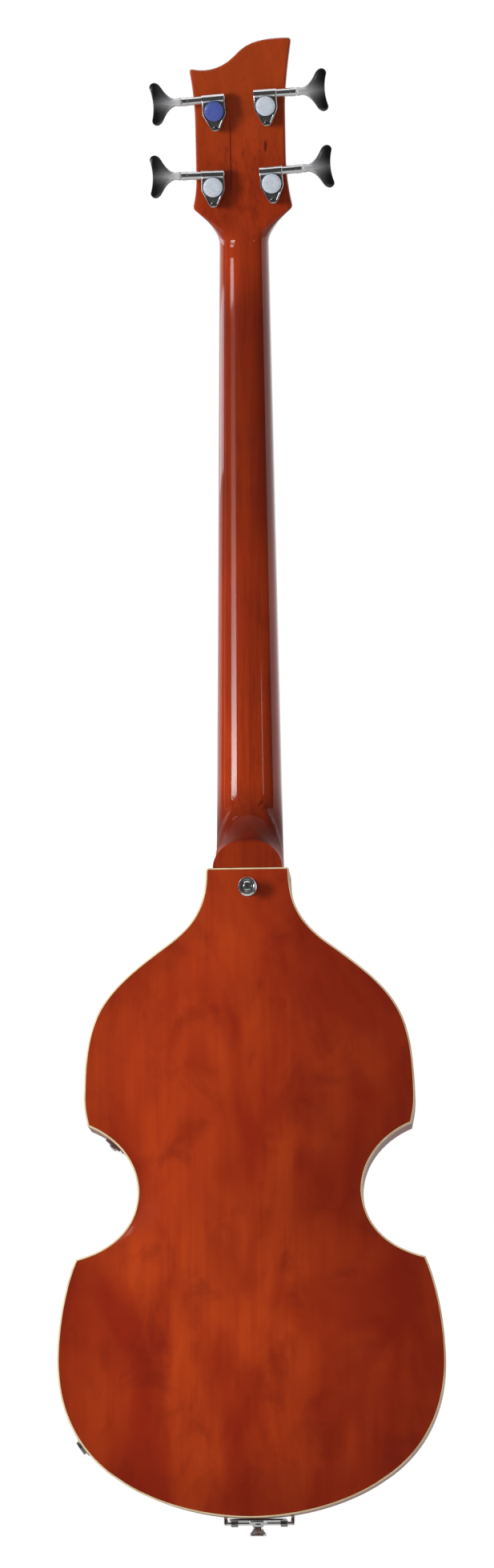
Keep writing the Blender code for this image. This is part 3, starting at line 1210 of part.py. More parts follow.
def make_tuner(index):
    """One tuning machine: housing, cap, worm with its button, post with its gear, and ferrule."""
    label, x, height, turn, wind_level = TUNER_PLACES[index]
    side = 1 if x > 0 else -1
    tip = side
    outward = Vector((side * math.cos(turn), 0, side * math.sin(turn)))
    away = Vector((0, 1, 0))
    square = away.cross(outward)
    rotation = Matrix((outward, square, away)).transposed().to_euler()
    mount = frame(f"tuner_frame_{label}", (x, HEAD_THICK, height), rotation, HEAD_FRAME)
    worm_mount = frame(f"worm_frame_{label}", (0, -tip * WORM_OFFSET, WORM_LEVEL), (0, 0, 0), mount)
    make_housing(f"tuner_housing_{label}", mount, tip)
    cap_low = HOUSING_HEIGHT + GAP
    cap = [(CAP_RADIUS, cap_low), (CAP_RADIUS, cap_low + CAP_THICK - CAP_EDGE),
           (CAP_RADIUS - CAP_EDGE, cap_low + CAP_THICK)]
    piece(f"tuner_cap_{label}", turned(cap, 14), CHROME, mount)
    make_post(f"tuner_post_{label}", mount, tip, STRING_RADII[index], wind_level)
    make_worm_button(f"tuner_button_{label}", worm_mount, tip)
    bore = POST_RADIUS + RUN
    face = -HEAD_THICK
    front, end = face - FERRULE_RISE, face + FERRULE_LENGTH
    ferrule = [(bore, front), (FERRULE_FLANGE - GAP * 2, front), (FERRULE_FLANGE, face - GAP),
               (FERRULE_SLEEVE, face - GAP), (FERRULE_SLEEVE, end), (bore, end)]
    piece(f"tuner_ferrule_{label}", turned(ferrule, 12, hollow=True), CHROME, mount)


make_neck()
make_fretboard()
make_nut()
make_truss_rod()
make_body()
make_strings()
make_bridge()
make_tailpiece()
make_pickup("neck", NECK_PICKUP_BELOW)
make_pickup("bridge", BRIDGE_PICKUP_BELOW)
make_controls()
make_pickguard()
make_jack()
heel_rise = BACK_ARCH * arch_share((HEEL_BUTTON_BELOW + BUTTON_BASE) / SPINE_TOP)
heel_place = (0, BACK_EDGE + heel_rise + GAP, -HEEL_BUTTON_BELOW)
strap_button("heel_strap_button", BODY_FRAME, heel_place, (-math.pi / 2, 0, 0), HEEL_BUTTON_STRETCH)
for tuner_index in range(4):
    make_tuner(tuner_index)
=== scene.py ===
"""Looks of the violin bass guitar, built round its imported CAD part.

All values are metres or radians, in the part's own frame: +Z runs up to the headstock, +Y out of the back,
and +X to the treble side, which the photograph shows on the left. On the body, "below" is the distance
below the top edge of its collar.
"""
import json
import math

import bmesh
import bpy
import numpy as np
from mathutils import Matrix, Vector


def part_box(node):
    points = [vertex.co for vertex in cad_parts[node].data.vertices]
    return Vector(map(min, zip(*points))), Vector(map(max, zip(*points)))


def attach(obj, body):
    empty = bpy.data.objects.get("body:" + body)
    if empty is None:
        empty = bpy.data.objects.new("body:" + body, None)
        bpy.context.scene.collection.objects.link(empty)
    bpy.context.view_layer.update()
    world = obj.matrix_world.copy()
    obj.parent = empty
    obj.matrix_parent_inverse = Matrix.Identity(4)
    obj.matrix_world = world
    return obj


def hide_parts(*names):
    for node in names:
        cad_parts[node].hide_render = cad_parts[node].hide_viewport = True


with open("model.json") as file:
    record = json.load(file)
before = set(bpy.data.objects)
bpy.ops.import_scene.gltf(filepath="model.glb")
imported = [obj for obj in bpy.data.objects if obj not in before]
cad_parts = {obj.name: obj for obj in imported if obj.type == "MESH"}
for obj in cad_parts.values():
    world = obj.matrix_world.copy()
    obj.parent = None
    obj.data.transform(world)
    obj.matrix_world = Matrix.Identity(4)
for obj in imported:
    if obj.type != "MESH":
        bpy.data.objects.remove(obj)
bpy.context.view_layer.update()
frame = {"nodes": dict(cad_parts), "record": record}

# The body's sizes, as in the part's source
SCALE_LENGTH = 0.7747
NECK_TILT = math.radians(3.0)
HEAD_PITCH = math.radians(13.0)
NUT_THICK = 0.0050
NECK_RISE = 0.0055
JOINT = SCALE_LENGTH * (1 - 2 ** (-16 / 12))
JOINT_Z = -JOINT * math.cos(NECK_TILT)
TOP_EDGE = -JOINT * math.sin(NECK_TILT) + NECK_RISE
PLATE_EDGE = 0.0035
RIM_FRONT = TOP_EDGE + PLATE_EDGE
RIM_BACK = RIM_FRONT + 0.0430
BACK_EDGE = RIM_BACK + PLATE_EDGE
RIM_MIDDLE = (RIM_FRONT + RIM_BACK) / 2
BODY_LENGTH = 0.4633
RIB_THICK = 0.0022
BACK_ARCH = 0.0080
TOP_ARCH = 0.0090
SPINE = (0.324 * BODY_LENGTH, 0.734 * BODY_LENGTH)
GAP = 0.0003

# What the carved plates and their bindings have here only
BINDING_WIDTH = 0.0012
BINDING_ROUND = 0.0009
CONTOUR_SMOOTHING = 18.25       # at the spine, in points of the outline
ARCH_RINGS = 34

# Neck and headstock; a side is half the width of its straight part, the heights where that starts and ends,
# the half width and height of its tip, and the power with which it widens to it
NUT_HALF = 0.0182
JOINT_HALF = 0.0245
DEPTHS = (0.0165, 0.0200)
NECK_SQUARE = 0.80
BACK_STEPS = 48                 # of a section's back, from the treble edge to the bass edge
HEAD_THICK = 0.0145
HEAD_CORNER = (0.0369, 0.0258)
HEAD_EDGE = 0.0021
HEAD_STRAIGHT = 0.1040
FLANK_EASE = 0.0012
TREBLE_SIDE = (0.0340, 0.0470, 0.0860, 0.0380, 0.1295, 2.0)
BASS_SIDE = (0.0324, 0.0650, 0.1004, 0.0380, 0.1507, 1.5)
CREST_TURN = (0.0029, 0.1394)
CREST_ENDS = ((0.0382, 0.1295), (-0.0382, 0.1507))
CREST_ROUND = 0.0018
CREST_CORNER = (0.0345, 0.0036, 0.0022)     # where it starts, its width and its drop
CREST_SINK = 0.0004
CREST_STEPS = 22
HEEL_HALF = 0.0250
HEEL_CAP_RISE = 0.0210
HEEL_SWEEP = 0.0340
HEEL_BACK = BACK_EDGE - 0.0010

NECK_MATRIX = Matrix.Rotation(-NECK_TILT, 4, "X")
HEAD_MATRIX = NECK_MATRIX @ Matrix.Translation((0, 0, NUT_THICK)) @ Matrix.Rotation(-HEAD_PITCH, 4, "X")

# Half of the body's outline: turning points, and the curves between them as leaving and arriving handles
# in shares of the span, and steps
COLLAR = (0.0300, 0.0022)
SHOULDER = (0.0554, 0.115 * BODY_LENGTH)
UPPER_BOUT = (0.1185, 0.356 * BODY_LENGTH)
UPPER_CORNER = (0.1158, 0.400 * BODY_LENGTH)
WAIST = (0.0801, 0.503 * BODY_LENGTH)
LOWER_CORNER = (0.1244, 0.605 * BODY_LENGTH)
LOWER_BOUT = (0.1380, 0.760 * BODY_LENGTH)
TAIL_TURN = (0.0930, 0.944 * BODY_LENGTH)
STRETCHES = (
    (COLLAR, SHOULDER, (0.02, 0.34), (0.11, 0.66), 16),
    (SHOULDER, UPPER_BOUT, (0.81, 0.33), (0.985, 0.45), 34),
    (UPPER_BOUT, UPPER_CORNER, (0.0, 0.43), (0.41, 0.61), 6),
    (UPPER_CORNER, WAIST, (0.62, 0.19), (1.0, 0.58), 18),
    (WAIST, LOWER_CORNER, (0.02, 0.43), (0.275, 0.826), 19),
    (LOWER_CORNER, LOWER_BOUT, (0.68, 0.28), (1.0, 0.72), 20),
    (LOWER_BOUT, TAIL_TURN, (0.0, 0.40), (0.30, 0.77), 27),
    (TAIL_TURN, (0.0, BODY_LENGTH), (0.267, 0.648), (0.65, 1.0), 27),
)


def tone(red, green, blue):
    """A colour read off a screen, as the linear values a shader takes."""
    return tuple(((c / 255 + 0.055) / 1.055) ** 2.4 if c > 10 else c / 255 / 12.92 for c in (red, green, blue))


# Shader maths


class Value:
    """A socket's value in one finish; arithmetic on it adds Math nodes."""

    def __init__(self, finish, socket):
        self.finish = finish
        self.socket = socket

    def math(self, operation, *terms):
        return self.finish.node("ShaderNodeMath", {"operation": operation}, dict(enumerate(terms)))

    def __add__(self, other):
        return self.math("ADD", self, other)

    def __sub__(self, other):
        return self.math("SUBTRACT", self, other)

    def __rsub__(self, other):
        return self.math("SUBTRACT", other, self)

    def __mul__(self, other):
        return self.math("MULTIPLY", self, other)

    def __pow__(self, other):
        return self.math("POWER", self, other)

    def between(self, low, high, smooth=True):
        """0 at low and 1 at high, and eased between them."""
        kind = "SMOOTHSTEP" if smooth else "LINEAR"
        return self.finish.node("ShaderNodeMapRange", {"interpolation_type": kind}, {0: self, 1: low, 2: high})


class Finish:
    """A material and the nodes that make it, and the record's slot that its pieces fill."""

    def __init__(self, name, **constants):
        self.slot = None
        self.material = bpy.data.materials.new(name)
        self.material.use_nodes = True
        self.tree = self.material.node_tree
        self.shader = self.tree.nodes["Principled BSDF"]
        self.place = self.node("ShaderNodeTexCoord", {}, {}, "Object")
        for socket, value in constants.items():
            self.shader.inputs[socket.replace("_", " ")].default_value = value

    def node(self, kind, settings, inputs, output=0):
        """Add a node: its settings come first, then the values or links of its sockets."""
        made = self.tree.nodes.new(kind)
        for setting, value in settings.items():
            setattr(made, setting, value)
        for socket, value in inputs.items():
            if isinstance(value, Value):
                self.tree.links.new(value.socket, made.inputs[socket])
            else:
                made.inputs[socket].default_value = value
        return Value(self, made.outputs[output])

    def feed(self, **sockets):
        """Link values into the shader."""
        for socket, value in sockets.items():
            self.tree.links.new(value.socket, self.shader.inputs[socket.replace("_", " ")])
        return self

    def noise(self, x, y, z, detail=3.0, roughness=0.5, distortion=0.0):
        """Noise with this many waves to the metre along each axis."""
        waves = self.node("ShaderNodeVectorMath", {"operation": "MULTIPLY"}, {0: self.place, 1: (x, y, z)})
        return self.node("ShaderNodeTexNoise", {}, {
            "Vector": waves, "Scale": 1.0, "Detail": detail, "Roughness": roughness, "Distortion": distortion})

    def axis(self, name):
        return self.node("ShaderNodeSeparateXYZ", {}, {0: self.place}, name)

    def attribute(self, name):
        return self.node("ShaderNodeAttribute", {"attribute_name": name}, {}, "Fac")

    def blend(self, share, first, second):
        """Mix two colours."""
        pair = [colour if isinstance(colour, Value) else (*colour, 1.0) for colour in (first, second)]
        return self.node("ShaderNodeMix", {"data_type": "RGBA"}, {0: share, 6: pair[0], 7: pair[1]}, 2)

    def layered(self, colour, *layers):
        """Lay tints over a colour, each given with its share."""
        for share, tint in layers:
            colour = self.blend(share, colour, tint)
        return colour

    def relief(self, height, depth, strength):
        """Bump of a height from 0 to 1."""
        return self.node("ShaderNodeBump", {}, {"Strength": strength, "Distance": depth, "Height": height})


# Marks on the headstock: an oval's middle across and along, and how sharply it ends that way
KNOT = ((-0.0175, 0.0695), (700, 230))
GRAIN_LINE = ((0.0082, 0.0640), (1500, 33))
# Heights between which the neck changes its colour; HEEL_SHADE and HEEL_CAP bound a painted shade on the heel's sweep,
# which is weaker on the cap
PALE_START, PALE_END = (-0.26, -0.17), (-0.06, -0.02)
HEEL_SHADE, HEEL_CAP = (-0.438, -0.395), (-0.450, -0.445)
HEAD_DASHES, HEAD_ORANGE = (0.02, 0.06), (0.03, 0.11)


def oval(x, z, middle, sharpness):
    """How far out a place lies of an oval, squared."""
    return ((x - middle[0]) * sharpness[0]) ** 2 + ((z - middle[1]) * sharpness[1]) ** 2


def neck_marks(wood, colour, grain, deep):
    """The neck's darker upper middle, a painted shade on the heel that is weaker on its cap, and the headstock's
    orange top, dashes, grain line and knot.
    """
    x, z = wood.axis("X"), wood.axis("Z")
    dashes = wood.noise(620, 620, 26, 3.0, 0.6).between(0.60, 0.70) * z.between(*HEAD_DASHES)
    middle = z.between(*PALE_START) - z.between(*PALE_END)
    # Painted shade: below HEEL_SHADE the heel's sweep is darkened, less so below HEEL_CAP on its cap, and its
    # lacquer's coat is thinned
    heel = 1 - z.between(*HEEL_SHADE)
    cap = 1 - z.between(*HEEL_CAP)
    line = oval(x + (grain - 0.5) * 0.0010, z, *GRAIN_LINE)
    wood.feed(Coat_Weight=heel * -0.94 + 1.0)
    return wood.layered(
        colour, (middle * 0.42 + heel * 0.72 - cap * 0.50 + dashes * 0.55, deep),
        (z.between(*HEAD_ORANGE) * 0.35, tone(184, 78, 26)),
        ((1 - oval(x, z, *KNOT).between(0.2, 1.2)) * 0.8, deep), ((1 - line.between(0.2, 1.4)) * 0.7, deep))


def lacquered_wood(name, light, dark, deep, streak, cloud, burst=0.0, coat=1.0):
    """Grained wood under gloss lacquer; burst darkens it where the attribute "inward" is low, and on the back a
    painted shade darkens the bass side, away from the key light.
    """
    wood = Finish(name, Coat_Weight=coat, Coat_Roughness=0.06, Coat_IOR=1.5, Specular_IOR_Level=0.08)
    fine = wood.noise(900, 900, 9, 4.0, 0.62)
    grain = wood.noise(120, 120, 3.2, 3.0, 0.55, 0.4)
    clouds = wood.noise(16, 16, 7, 3.0, 0.55, 0.8)
    patches = wood.noise(38, 38, 30, 4.0, 0.6, 0.6)
    pores = wood.noise(2600, 2600, 60, 2.0)
    share = fine.between(0.30, 0.72) * (0.35 * streak) + grain.between(0.30, 0.70) * (0.65 * streak)
    colour = wood.layered(
        wood.blend(share, light, dark), (clouds.between(0.34, 0.70) * cloud, dark),
        (patches.between(0.45, 0.80) * cloud * 0.45, deep), (pores.between(0.62, 0.80) * (0.30 * streak), deep))
    if name == "neck_wood":
        colour = neck_marks(wood, colour, grain, deep)
    if burst:
        edge = 1 - (wood.attribute("inward") + (clouds - 0.5) * 0.10).between(0.0, 0.30)
        colour = wood.blend(edge * burst, colour, deep)
    # Painted shade: the back darkens towards its bass side, which faces away from the key light, mottled by noise
    if name == "back_wood":
        drift = wood.noise(7, 7, 6, 2.0, 0.5, 0.4)
        painted_side_shade = (0.03 - wood.axis("X")).between(-0.05, 0.18) * 0.42 + (drift - 0.5) * 0.9
        colour = wood.blend(painted_side_shade.between(0.0, 1.0, False), colour, deep)
    return wood.feed(Base_Color=colour, Roughness=fine * 0.10 + 0.45, Normal=wood.relief(fine, 0.00001, 0.15))


def plated(name, light, dark, rough, pitting=0.35, bare=1.0, ridge=None):
    """Bright plated metal with faint polishing marks and dull spots; ridge names an attribute of painted sheen, where
    it turns lighter and less metallic.
    """
    metal = Finish(name, Metallic=bare, Coat_Roughness=0.08)
    marks = metal.noise(260, 260, 2400, 2.0)
    spots = metal.noise(420, 420, 420, 3.0, 0.6)
    colour = metal.blend(spots.between(0.45, 0.75) * pitting, light, dark)
    if ridge:
        painted_sheen = metal.attribute(ridge)
        colour = metal.blend(painted_sheen, colour, (0.62, 0.62, 0.64))
        metal.feed(Metallic=painted_sheen * -0.6 + bare)
    return metal.feed(Base_Color=colour, Roughness=marks * (rough * 0.5) + spots * (rough * 0.5) + rough * 0.5,
                      Normal=metal.relief(marks, 0.000002, 0.02))


def moulded(name, light, dark, rough, scale=60.0, coat=0.3):
    """Plastic with faint flow marks."""
    plastic = Finish(name, Coat_Weight=coat, Coat_Roughness=0.08)
    flow = plastic.noise(scale, scale, scale, 4.0, 0.55, 1.2)
    fine = plastic.noise(1800, 1800, 1800, 2.0)
    return plastic.feed(Base_Color=plastic.blend(flow.between(0.35, 0.68), light, dark),
                        Roughness=flow * 0.08 + fine * 0.06 + rough, Normal=plastic.relief(fine, 0.000006, 0.3))


back_wood = lacquered_wood("back_wood", tone(190, 68, 20), tone(148, 38, 12), tone(104, 20, 9), 0.40, 1.0, 0.30)
top_wood = lacquered_wood("top_wood", tone(214, 120, 44), tone(176, 74, 24), tone(70, 16, 8), 0.6, 0.35, 0.7)
neck_wood = lacquered_wood("neck_wood", tone(170, 56, 16), tone(128, 36, 11), tone(78, 18, 8), 0.9, 0.5)
rib_wood = lacquered_wood("rib_wood", tone(158, 72, 44), tone(118, 42, 24), tone(84, 26, 14), 0.9, 0.5, coat=0.12)
bare_wood = moulded("bare_wood", tone(205, 170, 120), tone(176, 136, 88), 0.55, 90.0, 0.0)
dark_wood = moulded("dark_wood", tone(58, 34, 24), tone(34, 20, 15), 0.42, 160.0, 0.0)
ivory = moulded("ivory", tone(232, 206, 164), tone(214, 184, 138), 0.22, 34.0, 0.6)
pearl = moulded("pearl", tone(238, 236, 228), tone(200, 200, 196), 0.16, 70.0, 0.8)
black_plastic = moulded("black_plastic", tone(20, 20, 21), tone(12, 12, 13), 0.22, 80.0, 0.4)
chrome = plated("chrome", (0.80, 0.80, 0.81), (0.68, 0.68, 0.69), 0.14, 0.25, 0.95)
smoked_chrome = plated("smoked_chrome", (0.30, 0.295, 0.285), (0.24, 0.235, 0.23), 0.16, 0.5, 0.88)
# Painted reflection: the buttons' plating is near black for the dark surroundings they mirror, and their ridge
# attribute paints a sheen
button_chrome = plated("button_chrome", (0.075, 0.072, 0.070), (0.05, 0.049, 0.048), 0.18, 0.4, 0.90, "ridge")
steel = plated("steel", (0.55, 0.55, 0.56), (0.40, 0.40, 0.41), 0.34)
nickel = plated("nickel", (0.66, 0.64, 0.60), (0.52, 0.50, 0.46), 0.22)
brass = plated("brass", (0.72, 0.53, 0.24), (0.50, 0.36, 0.16), 0.26)
cap_plain = moulded("cap_plain", tone(204, 211, 220), tone(184, 192, 204), 0.30, 900.0, 0.4)
cap_film = moulded("cap_film", tone(82, 96, 172), tone(66, 80, 152), 0.30, 900.0, 0.5)

# The finishes of each slot; the first one dresses the solids that no piece here replaces
SLOT_FINISHES = {
    "truss_steel": (steel,), "pot_steel": (steel,), "pickup_chrome": (chrome,),
    "amber_lacquer": (top_wood, back_wood, neck_wood), "rib_maple": (rib_wood,), "ivory_binding": (ivory,),
    "bare_spruce": (bare_wood,), "rosewood": (dark_wood,), "string_nickel": (nickel,), "brass": (brass,),
    "black_plastic": (black_plastic,), "pearl_plastic": (pearl,), "chrome": (chrome, smoked_chrome, button_chrome),
    "cap_steel": (cap_plain,), "cap_blue_film": (cap_film,),
}
for slot, finishes in SLOT_FINISHES.items():
    for finish in finishes:
        finish.slot = slot
for row in frame["record"]["subparts"]:
    node = frame["nodes"][row["node"]]
    node.data.materials.clear()
    node.data.materials.append(SLOT_FINISHES[row["material_slot"]][0].material)


# Meshes


def placed(name, data):
    """A new object in the scene."""
    made = bpy.data.objects.new(name, data)
    bpy.context.scene.collection.objects.link(made)
    return made


def mesh_piece(name, node, vertices, faces, finish, angle=40, inward=None):
    """A finished piece from computed points, for the carved woods that no primitive leads to.

    It takes the place of a node. The attribute inward runs from 0 at a plate's edge to 1 along its spine.
    """
    mesh = bpy.data.meshes.new(name)
    mesh.from_pydata([tuple(vertex) for vertex in vertices], [], faces)
    if inward:
        mesh.attributes.new("inward", "FLOAT", "POINT").data.foreach_set("value", inward)
    work = bmesh.new()
    work.from_mesh(mesh)
    bmesh.ops.remove_doubles(work, verts=work.verts, dist=0.00002)
    bmesh.ops.recalc_face_normals(work, faces=work.faces)
    work.to_mesh(mesh)
    work.free()
    mesh.shade_smooth()
    mesh.set_sharp_from_angle(angle=math.radians(angle))
    mesh.materials.append(finish.material)
    made = placed(name, mesh)
    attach(made, "root")
    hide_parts(node)


def bridged(rings, closed=False, ends=True):
    """Faces between rings of points in order."""
    count = len(rings[0])
    vertices = [point for ring in rings for point in ring]
    faces = []
    for index in range(len(rings) if closed else len(rings) - 1):
        here = index * count
        there = (index + 1) % len(rings) * count
        for step in range(count):
            beside = (step + 1) % count
            faces.append((here + step, here + beside, there + beside, there + step))
    if ends and not closed:
        faces.append(tuple(range(count)))
        faces.append(tuple(range(len(vertices) - count, len(vertices))))
    return vertices, faces


def bent(start, end, leave, arrive, steps):
    """A cubic from start, without its end."""
    points = []
    for step in range(steps):
        u = step / steps
        pull = (3 * (1 - u) ** 2 * u, 3 * (1 - u) * u * u, u ** 3)
        points.append(tuple(start[a] + (end[a] - start[a]) * (pull[0] * leave[a] + pull[1] * arrive[a] + pull[2])
                            for a in (0, 1)))
    return points


def body_outline():
    """The body's outline as (x, below) points, from the collar's middle down the treble side and up again."""
    wide, corner = COLLAR
    half = [(0.0, 0.0), (0.010, 0.0), (0.020, 0.0)]
    for degrees in (90, 60, 30):
        turn = math.radians(degrees)
        half.append((wide - corner * (1 - math.cos(turn)), corner * (1 - math.sin(turn))))
    for stretch in STRETCHES:
        half += bent(*stretch)
    other = [(-x, below) for x, below in reversed(half[1:])]
    return half + [(0.0, BODY_LENGTH)] + other


def inset(outline, distance):
    """Move a closed outline inwards, square to its edges."""
    result = []
    for index, point in enumerate(outline):
        here = Vector(point)
        arriving = (here - Vector(outline[index - 1])).normalized()
        leaving = (Vector(outline[(index + 1) % len(outline)]) - here).normalized()
        normal = Vector((-arriving.y - leaving.y, arriving.x + leaving.x)).normalized()
        moved = here + normal * distance / max(normal.dot(Vector((-arriving.y, arriving.x))), 0.3)
        result.append((moved.x, moved.y))
    return result


def arch_share(share):
    """How much of the arch's height is reached at a share of the way from the edge to the spine."""
    return math.sin(math.pi / 2 * share ** 0.7) ** 2


def contour(edge, share):
    """A plate's contour line: its edge smoothed, and drawn towards the spine."""
    points = np.array(edge)
    waves = np.fft.fftfreq(len(points))[:, None]
    kept = np.exp(-2 * (math.pi * CONTOUR_SMOOTHING * math.sqrt(share) * waves) ** 2)
    smooth = np.fft.ifft(np.fft.fft(points, axis=0) * kept, axis=0).real
    x = smooth[:, 0] * (1 - share)
    below = smooth[:, 1]
    return list(zip(x, below + share * (np.clip(below, *SPINE) - below)))


def level(outline, y):
    return [(x, y, JOINT_Z - below) for x, below in outline]


OUTLINE = body_outline()
PLATE_OUTLINE = inset(OUTLINE, BINDING_WIDTH + GAP / 2)


def arched_plate(node, base, outward, arch, finish):
    """A carved plate over the ribs."""
    count = len(PLATE_OUTLINE)
    shares = [(step / ARCH_RINGS) ** 1.25 for step in range(ARCH_RINGS + 1)]
    rings = [level(PLATE_OUTLINE, base)]
    for share in shares:
        rings.append(level(contour(PLATE_OUTLINE, share), base + outward * (PLATE_EDGE + arch * arch_share(share))))
    vertices, faces = bridged(rings, ends=False)
    faces.append(tuple(range(count)))
    inward = [share for share in [0.0] + shares for _ in range(count)]
    mesh_piece(f"carved_{node}", node, vertices, faces, finish, 50, inward)


def ring_wall(name, node, section, finish):
    """A closed wall round the body whose section is a loop of (inset, y) pairs."""
    vertices, faces = bridged([level(inset(OUTLINE, depth), y) for depth, y in section], closed=True)
    mesh_piece(name, node, vertices, faces, finish)


def make_body():
    """Ribs, a carved plate on each side of them, and a rounded binding round each plate."""
    sides = (("back", RIM_BACK, 1, BACK_ARCH, back_wood), ("top", RIM_FRONT, -1, TOP_ARCH, top_wood))
    for side, base, outward, arch, finish in sides:
        arched_plate(f"{side}_plate", base, outward, arch, finish)
    for side, base, outward, _, _ in sides:
        edge = base + outward * PLATE_EDGE
        section = [(0, base), (0, edge - outward * BINDING_ROUND)]
        for degrees in (30, 60, 90):
            turn = math.radians(degrees)
            section.append((BINDING_ROUND * (1 - math.cos(turn)),
                            edge - outward * BINDING_ROUND * (1 - math.sin(turn))))
        section += [(BINDING_WIDTH, edge), (BINDING_WIDTH, base)]
        ring_wall(f"rounded_{side}_binding", f"{side}_binding", section, ivory)
    front, back = RIM_FRONT + GAP / 2, RIM_BACK - GAP / 2
    ring_wall("bent_ribs", "rim", [(0, front), (0, back), (RIB_THICK, back), (RIB_THICK, front)], rib_wood)


# Neck and headstock


def round_half(treble, bass, depth):
    """Back of a neck's section from the treble edge to the bass edge."""
    points = []
    for step in range(BACK_STEPS + 1):
        turn = math.pi * step / BACK_STEPS
        half = treble if step <= BACK_STEPS // 2 else -bass
        points.append((half * abs(math.cos(turn)) ** NECK_SQUARE, depth * abs(math.sin(turn)) ** NECK_SQUARE))
    return points


def box_half(treble, bass, depth):
    """Back of the headstock's section with round corners, with as many points as round_half."""
    steps = BACK_STEPS // 6
    side = []
    for half in (treble, bass):
        part = [(half, (depth - HEAD_EDGE) * step / steps) for step in range(steps)]
        for step in range(steps + 1):
            turn = math.pi / 2 * step / steps
            part.append((half - HEAD_EDGE * (1 - math.cos(turn)), depth - HEAD_EDGE * (1 - math.sin(turn))))
        part += [((half - HEAD_EDGE) * (1 - step / steps), depth) for step in range(1, steps)]
        side.append(part)
    return side[0] + [(0.0, depth)] + [(-x, y) for x, y in reversed(side[1])]


def flank_line(height, side):
    """Half the headstock's width on one side, with sharp corners."""
    half, low, high, tip, tip_height, power = side
    if height < HEAD_CORNER[1]:
        return NUT_HALF + (HEAD_CORNER[0] - NUT_HALF) * (max(height, 0) / HEAD_CORNER[1]) ** 1.6
    if height < low:
        return half + (HEAD_CORNER[0] - half) * ((low - height) / (low - HEAD_CORNER[1])) ** 2
    if height < high:
        return half
    return half + (tip - half) * ((height - high) / (tip_height - high)) ** power


def flank(height, side):
    """Half the headstock's width on one side, with its corners eased."""
    return sum(flank_line(height + step * FLANK_EASE, side) for step in (-1, 0, 1)) / 3


# The headstock's S-shaped top edge as (x, height) points from the treble side
CREST = [*bent(CREST_ENDS[0], CREST_TURN, (0.28, -0.42), (0.74, -0.12), 20),
         *bent(CREST_TURN, CREST_ENDS[1], (0.19, 0.70), (0.41, 1.0), 22), CREST_ENDS[1]]


def crest(x):
    """The top edge's height, rounded over at both of its corners."""
    start, width, drop = CREST_CORNER
    near = min(max((abs(x) - start) / width, 0.0), 1.0)
    height = float(np.interp(-x, [-point[0] for point in CREST], [point[1] for point in CREST]))
    return height - CREST_SINK - drop * (1 - math.sqrt(1 - near * near))


def eased(value, low, high):
    """0 at low and 1 at high, and smooth between them."""
    share = min(max((value - low) / (high - low), 0.0), 1.0)
    return share * share * (3 - 2 * share)


def whole_ring(back, reach=1.0):
    """Close a section's back with points on its flat front, each facing one of the back's."""
    return back + [(min(max(x, -reach), reach), 0.0) for x, _ in back[-2:0:-1]]


def neck_size(share):
    """Half the neck's width, and its depth, at a share of the way from the nut to the joint."""
    return NUT_HALF + (JOINT_HALF - NUT_HALF) * share, DEPTHS[0] + (DEPTHS[1] - DEPTHS[0]) * share


def neck_ring(distance):
    half, depth = neck_size(max(distance, 0.0) / JOINT)
    return [NECK_MATRIX @ Vector((x, y, -distance)) for x, y in whole_ring(round_half(half, half, depth))]


def head_section(height):
    share = eased(height, 0.002, HEAD_CORNER[1] * 0.92)
    treble, bass = flank(height, TREBLE_SIDE), flank(height, BASS_SIDE)
    depth = DEPTHS[0] + (HEAD_THICK - DEPTHS[0]) * eased(height, -0.002, 0.020)
    pairs = zip(round_half(treble, bass, depth), box_half(treble, bass, depth))
    return whole_ring([(a[0] + (b[0] - a[0]) * share, a[1] + (b[1] - a[1]) * share) for a, b in pairs])


def head_ring(height):
    return [HEAD_MATRIX @ Vector((x, y, height)) for x, y in head_section(height)]


def heel_rise(y):
    """How high the heel reaches over the collar at a level between the neck's plane and the cap."""
    root = (JOINT_Z + HEEL_CAP_RISE + HEEL_SWEEP) * math.tan(NECK_TILT) + DEPTHS[1]
    share = min(max((HEEL_BACK - y) / (HEEL_BACK - root), 0.0), 1.0)
    return HEEL_CAP_RISE + HEEL_SWEEP * (1 - math.sqrt(1 - share * share))


def farthest(inside):
    """How far out of the neck's plane a section reaches in one direction."""
    low, high = 0.0, 0.08
    for _ in range(26):
        middle = (low + high) / 2
        low, high = (middle, high) if inside(middle) else (low, middle)
    return low


def heel_ring(height):
    """Section of the heel, joined smoothly to the neck's own section."""
    plane = (JOINT_Z + height) * math.tan(NECK_TILT)
    half, depth = neck_size(1 - height / math.cos(NECK_TILT) / JOINT)
    across = HEEL_HALF * math.sqrt(max(1 - (height / HEEL_CAP_RISE) ** 2, 0.0)) if height < HEEL_CAP_RISE else 0.0
    corner = min(math.atan2(HEEL_BACK - plane, across), math.radians(82))
    corner_step = BACK_STEPS // 3
    loose = eased(height, 0.040, 0.066)
    soft = 0.0030 * eased(height, 0.004, 0.030)
    power = 2 / NECK_SQUARE
    back = []
    for index, (x, y) in enumerate(round_half(half, half, depth)):
        step = min(index, BACK_STEPS - index)
        if step <= corner_step:
            wanted = corner * (step / corner_step) ** 0.8
        else:
            wanted = corner + (math.pi / 2 - corner) * (step - corner_step) / (corner_step / 2)
        if index > BACK_STEPS // 2:
            wanted = math.pi - wanted
        turn = wanted + (math.atan2(y, x) - wanted) * loose
        cos, sin = math.cos(turn), math.sin(turn)
        neck = farthest(lambda r: (abs(r * cos) / half) ** power + (r * sin / depth) ** power <= 1)
        heel = farthest(lambda r: plane + r * sin <= HEEL_BACK
                        and (r * cos / HEEL_HALF) ** 2 + (height / heel_rise(plane + r * sin)) ** 2 <= 1)
        extra = soft * max(0.0, 1 - abs(neck - heel) / soft) ** 2 / 4 if soft else 0.0
        radius = max(neck, heel) + extra
        back.append((radius * cos, radius * sin))
    return [Vector((x, plane + y, JOINT_Z + height)) for x, y in whole_ring(back, half)]


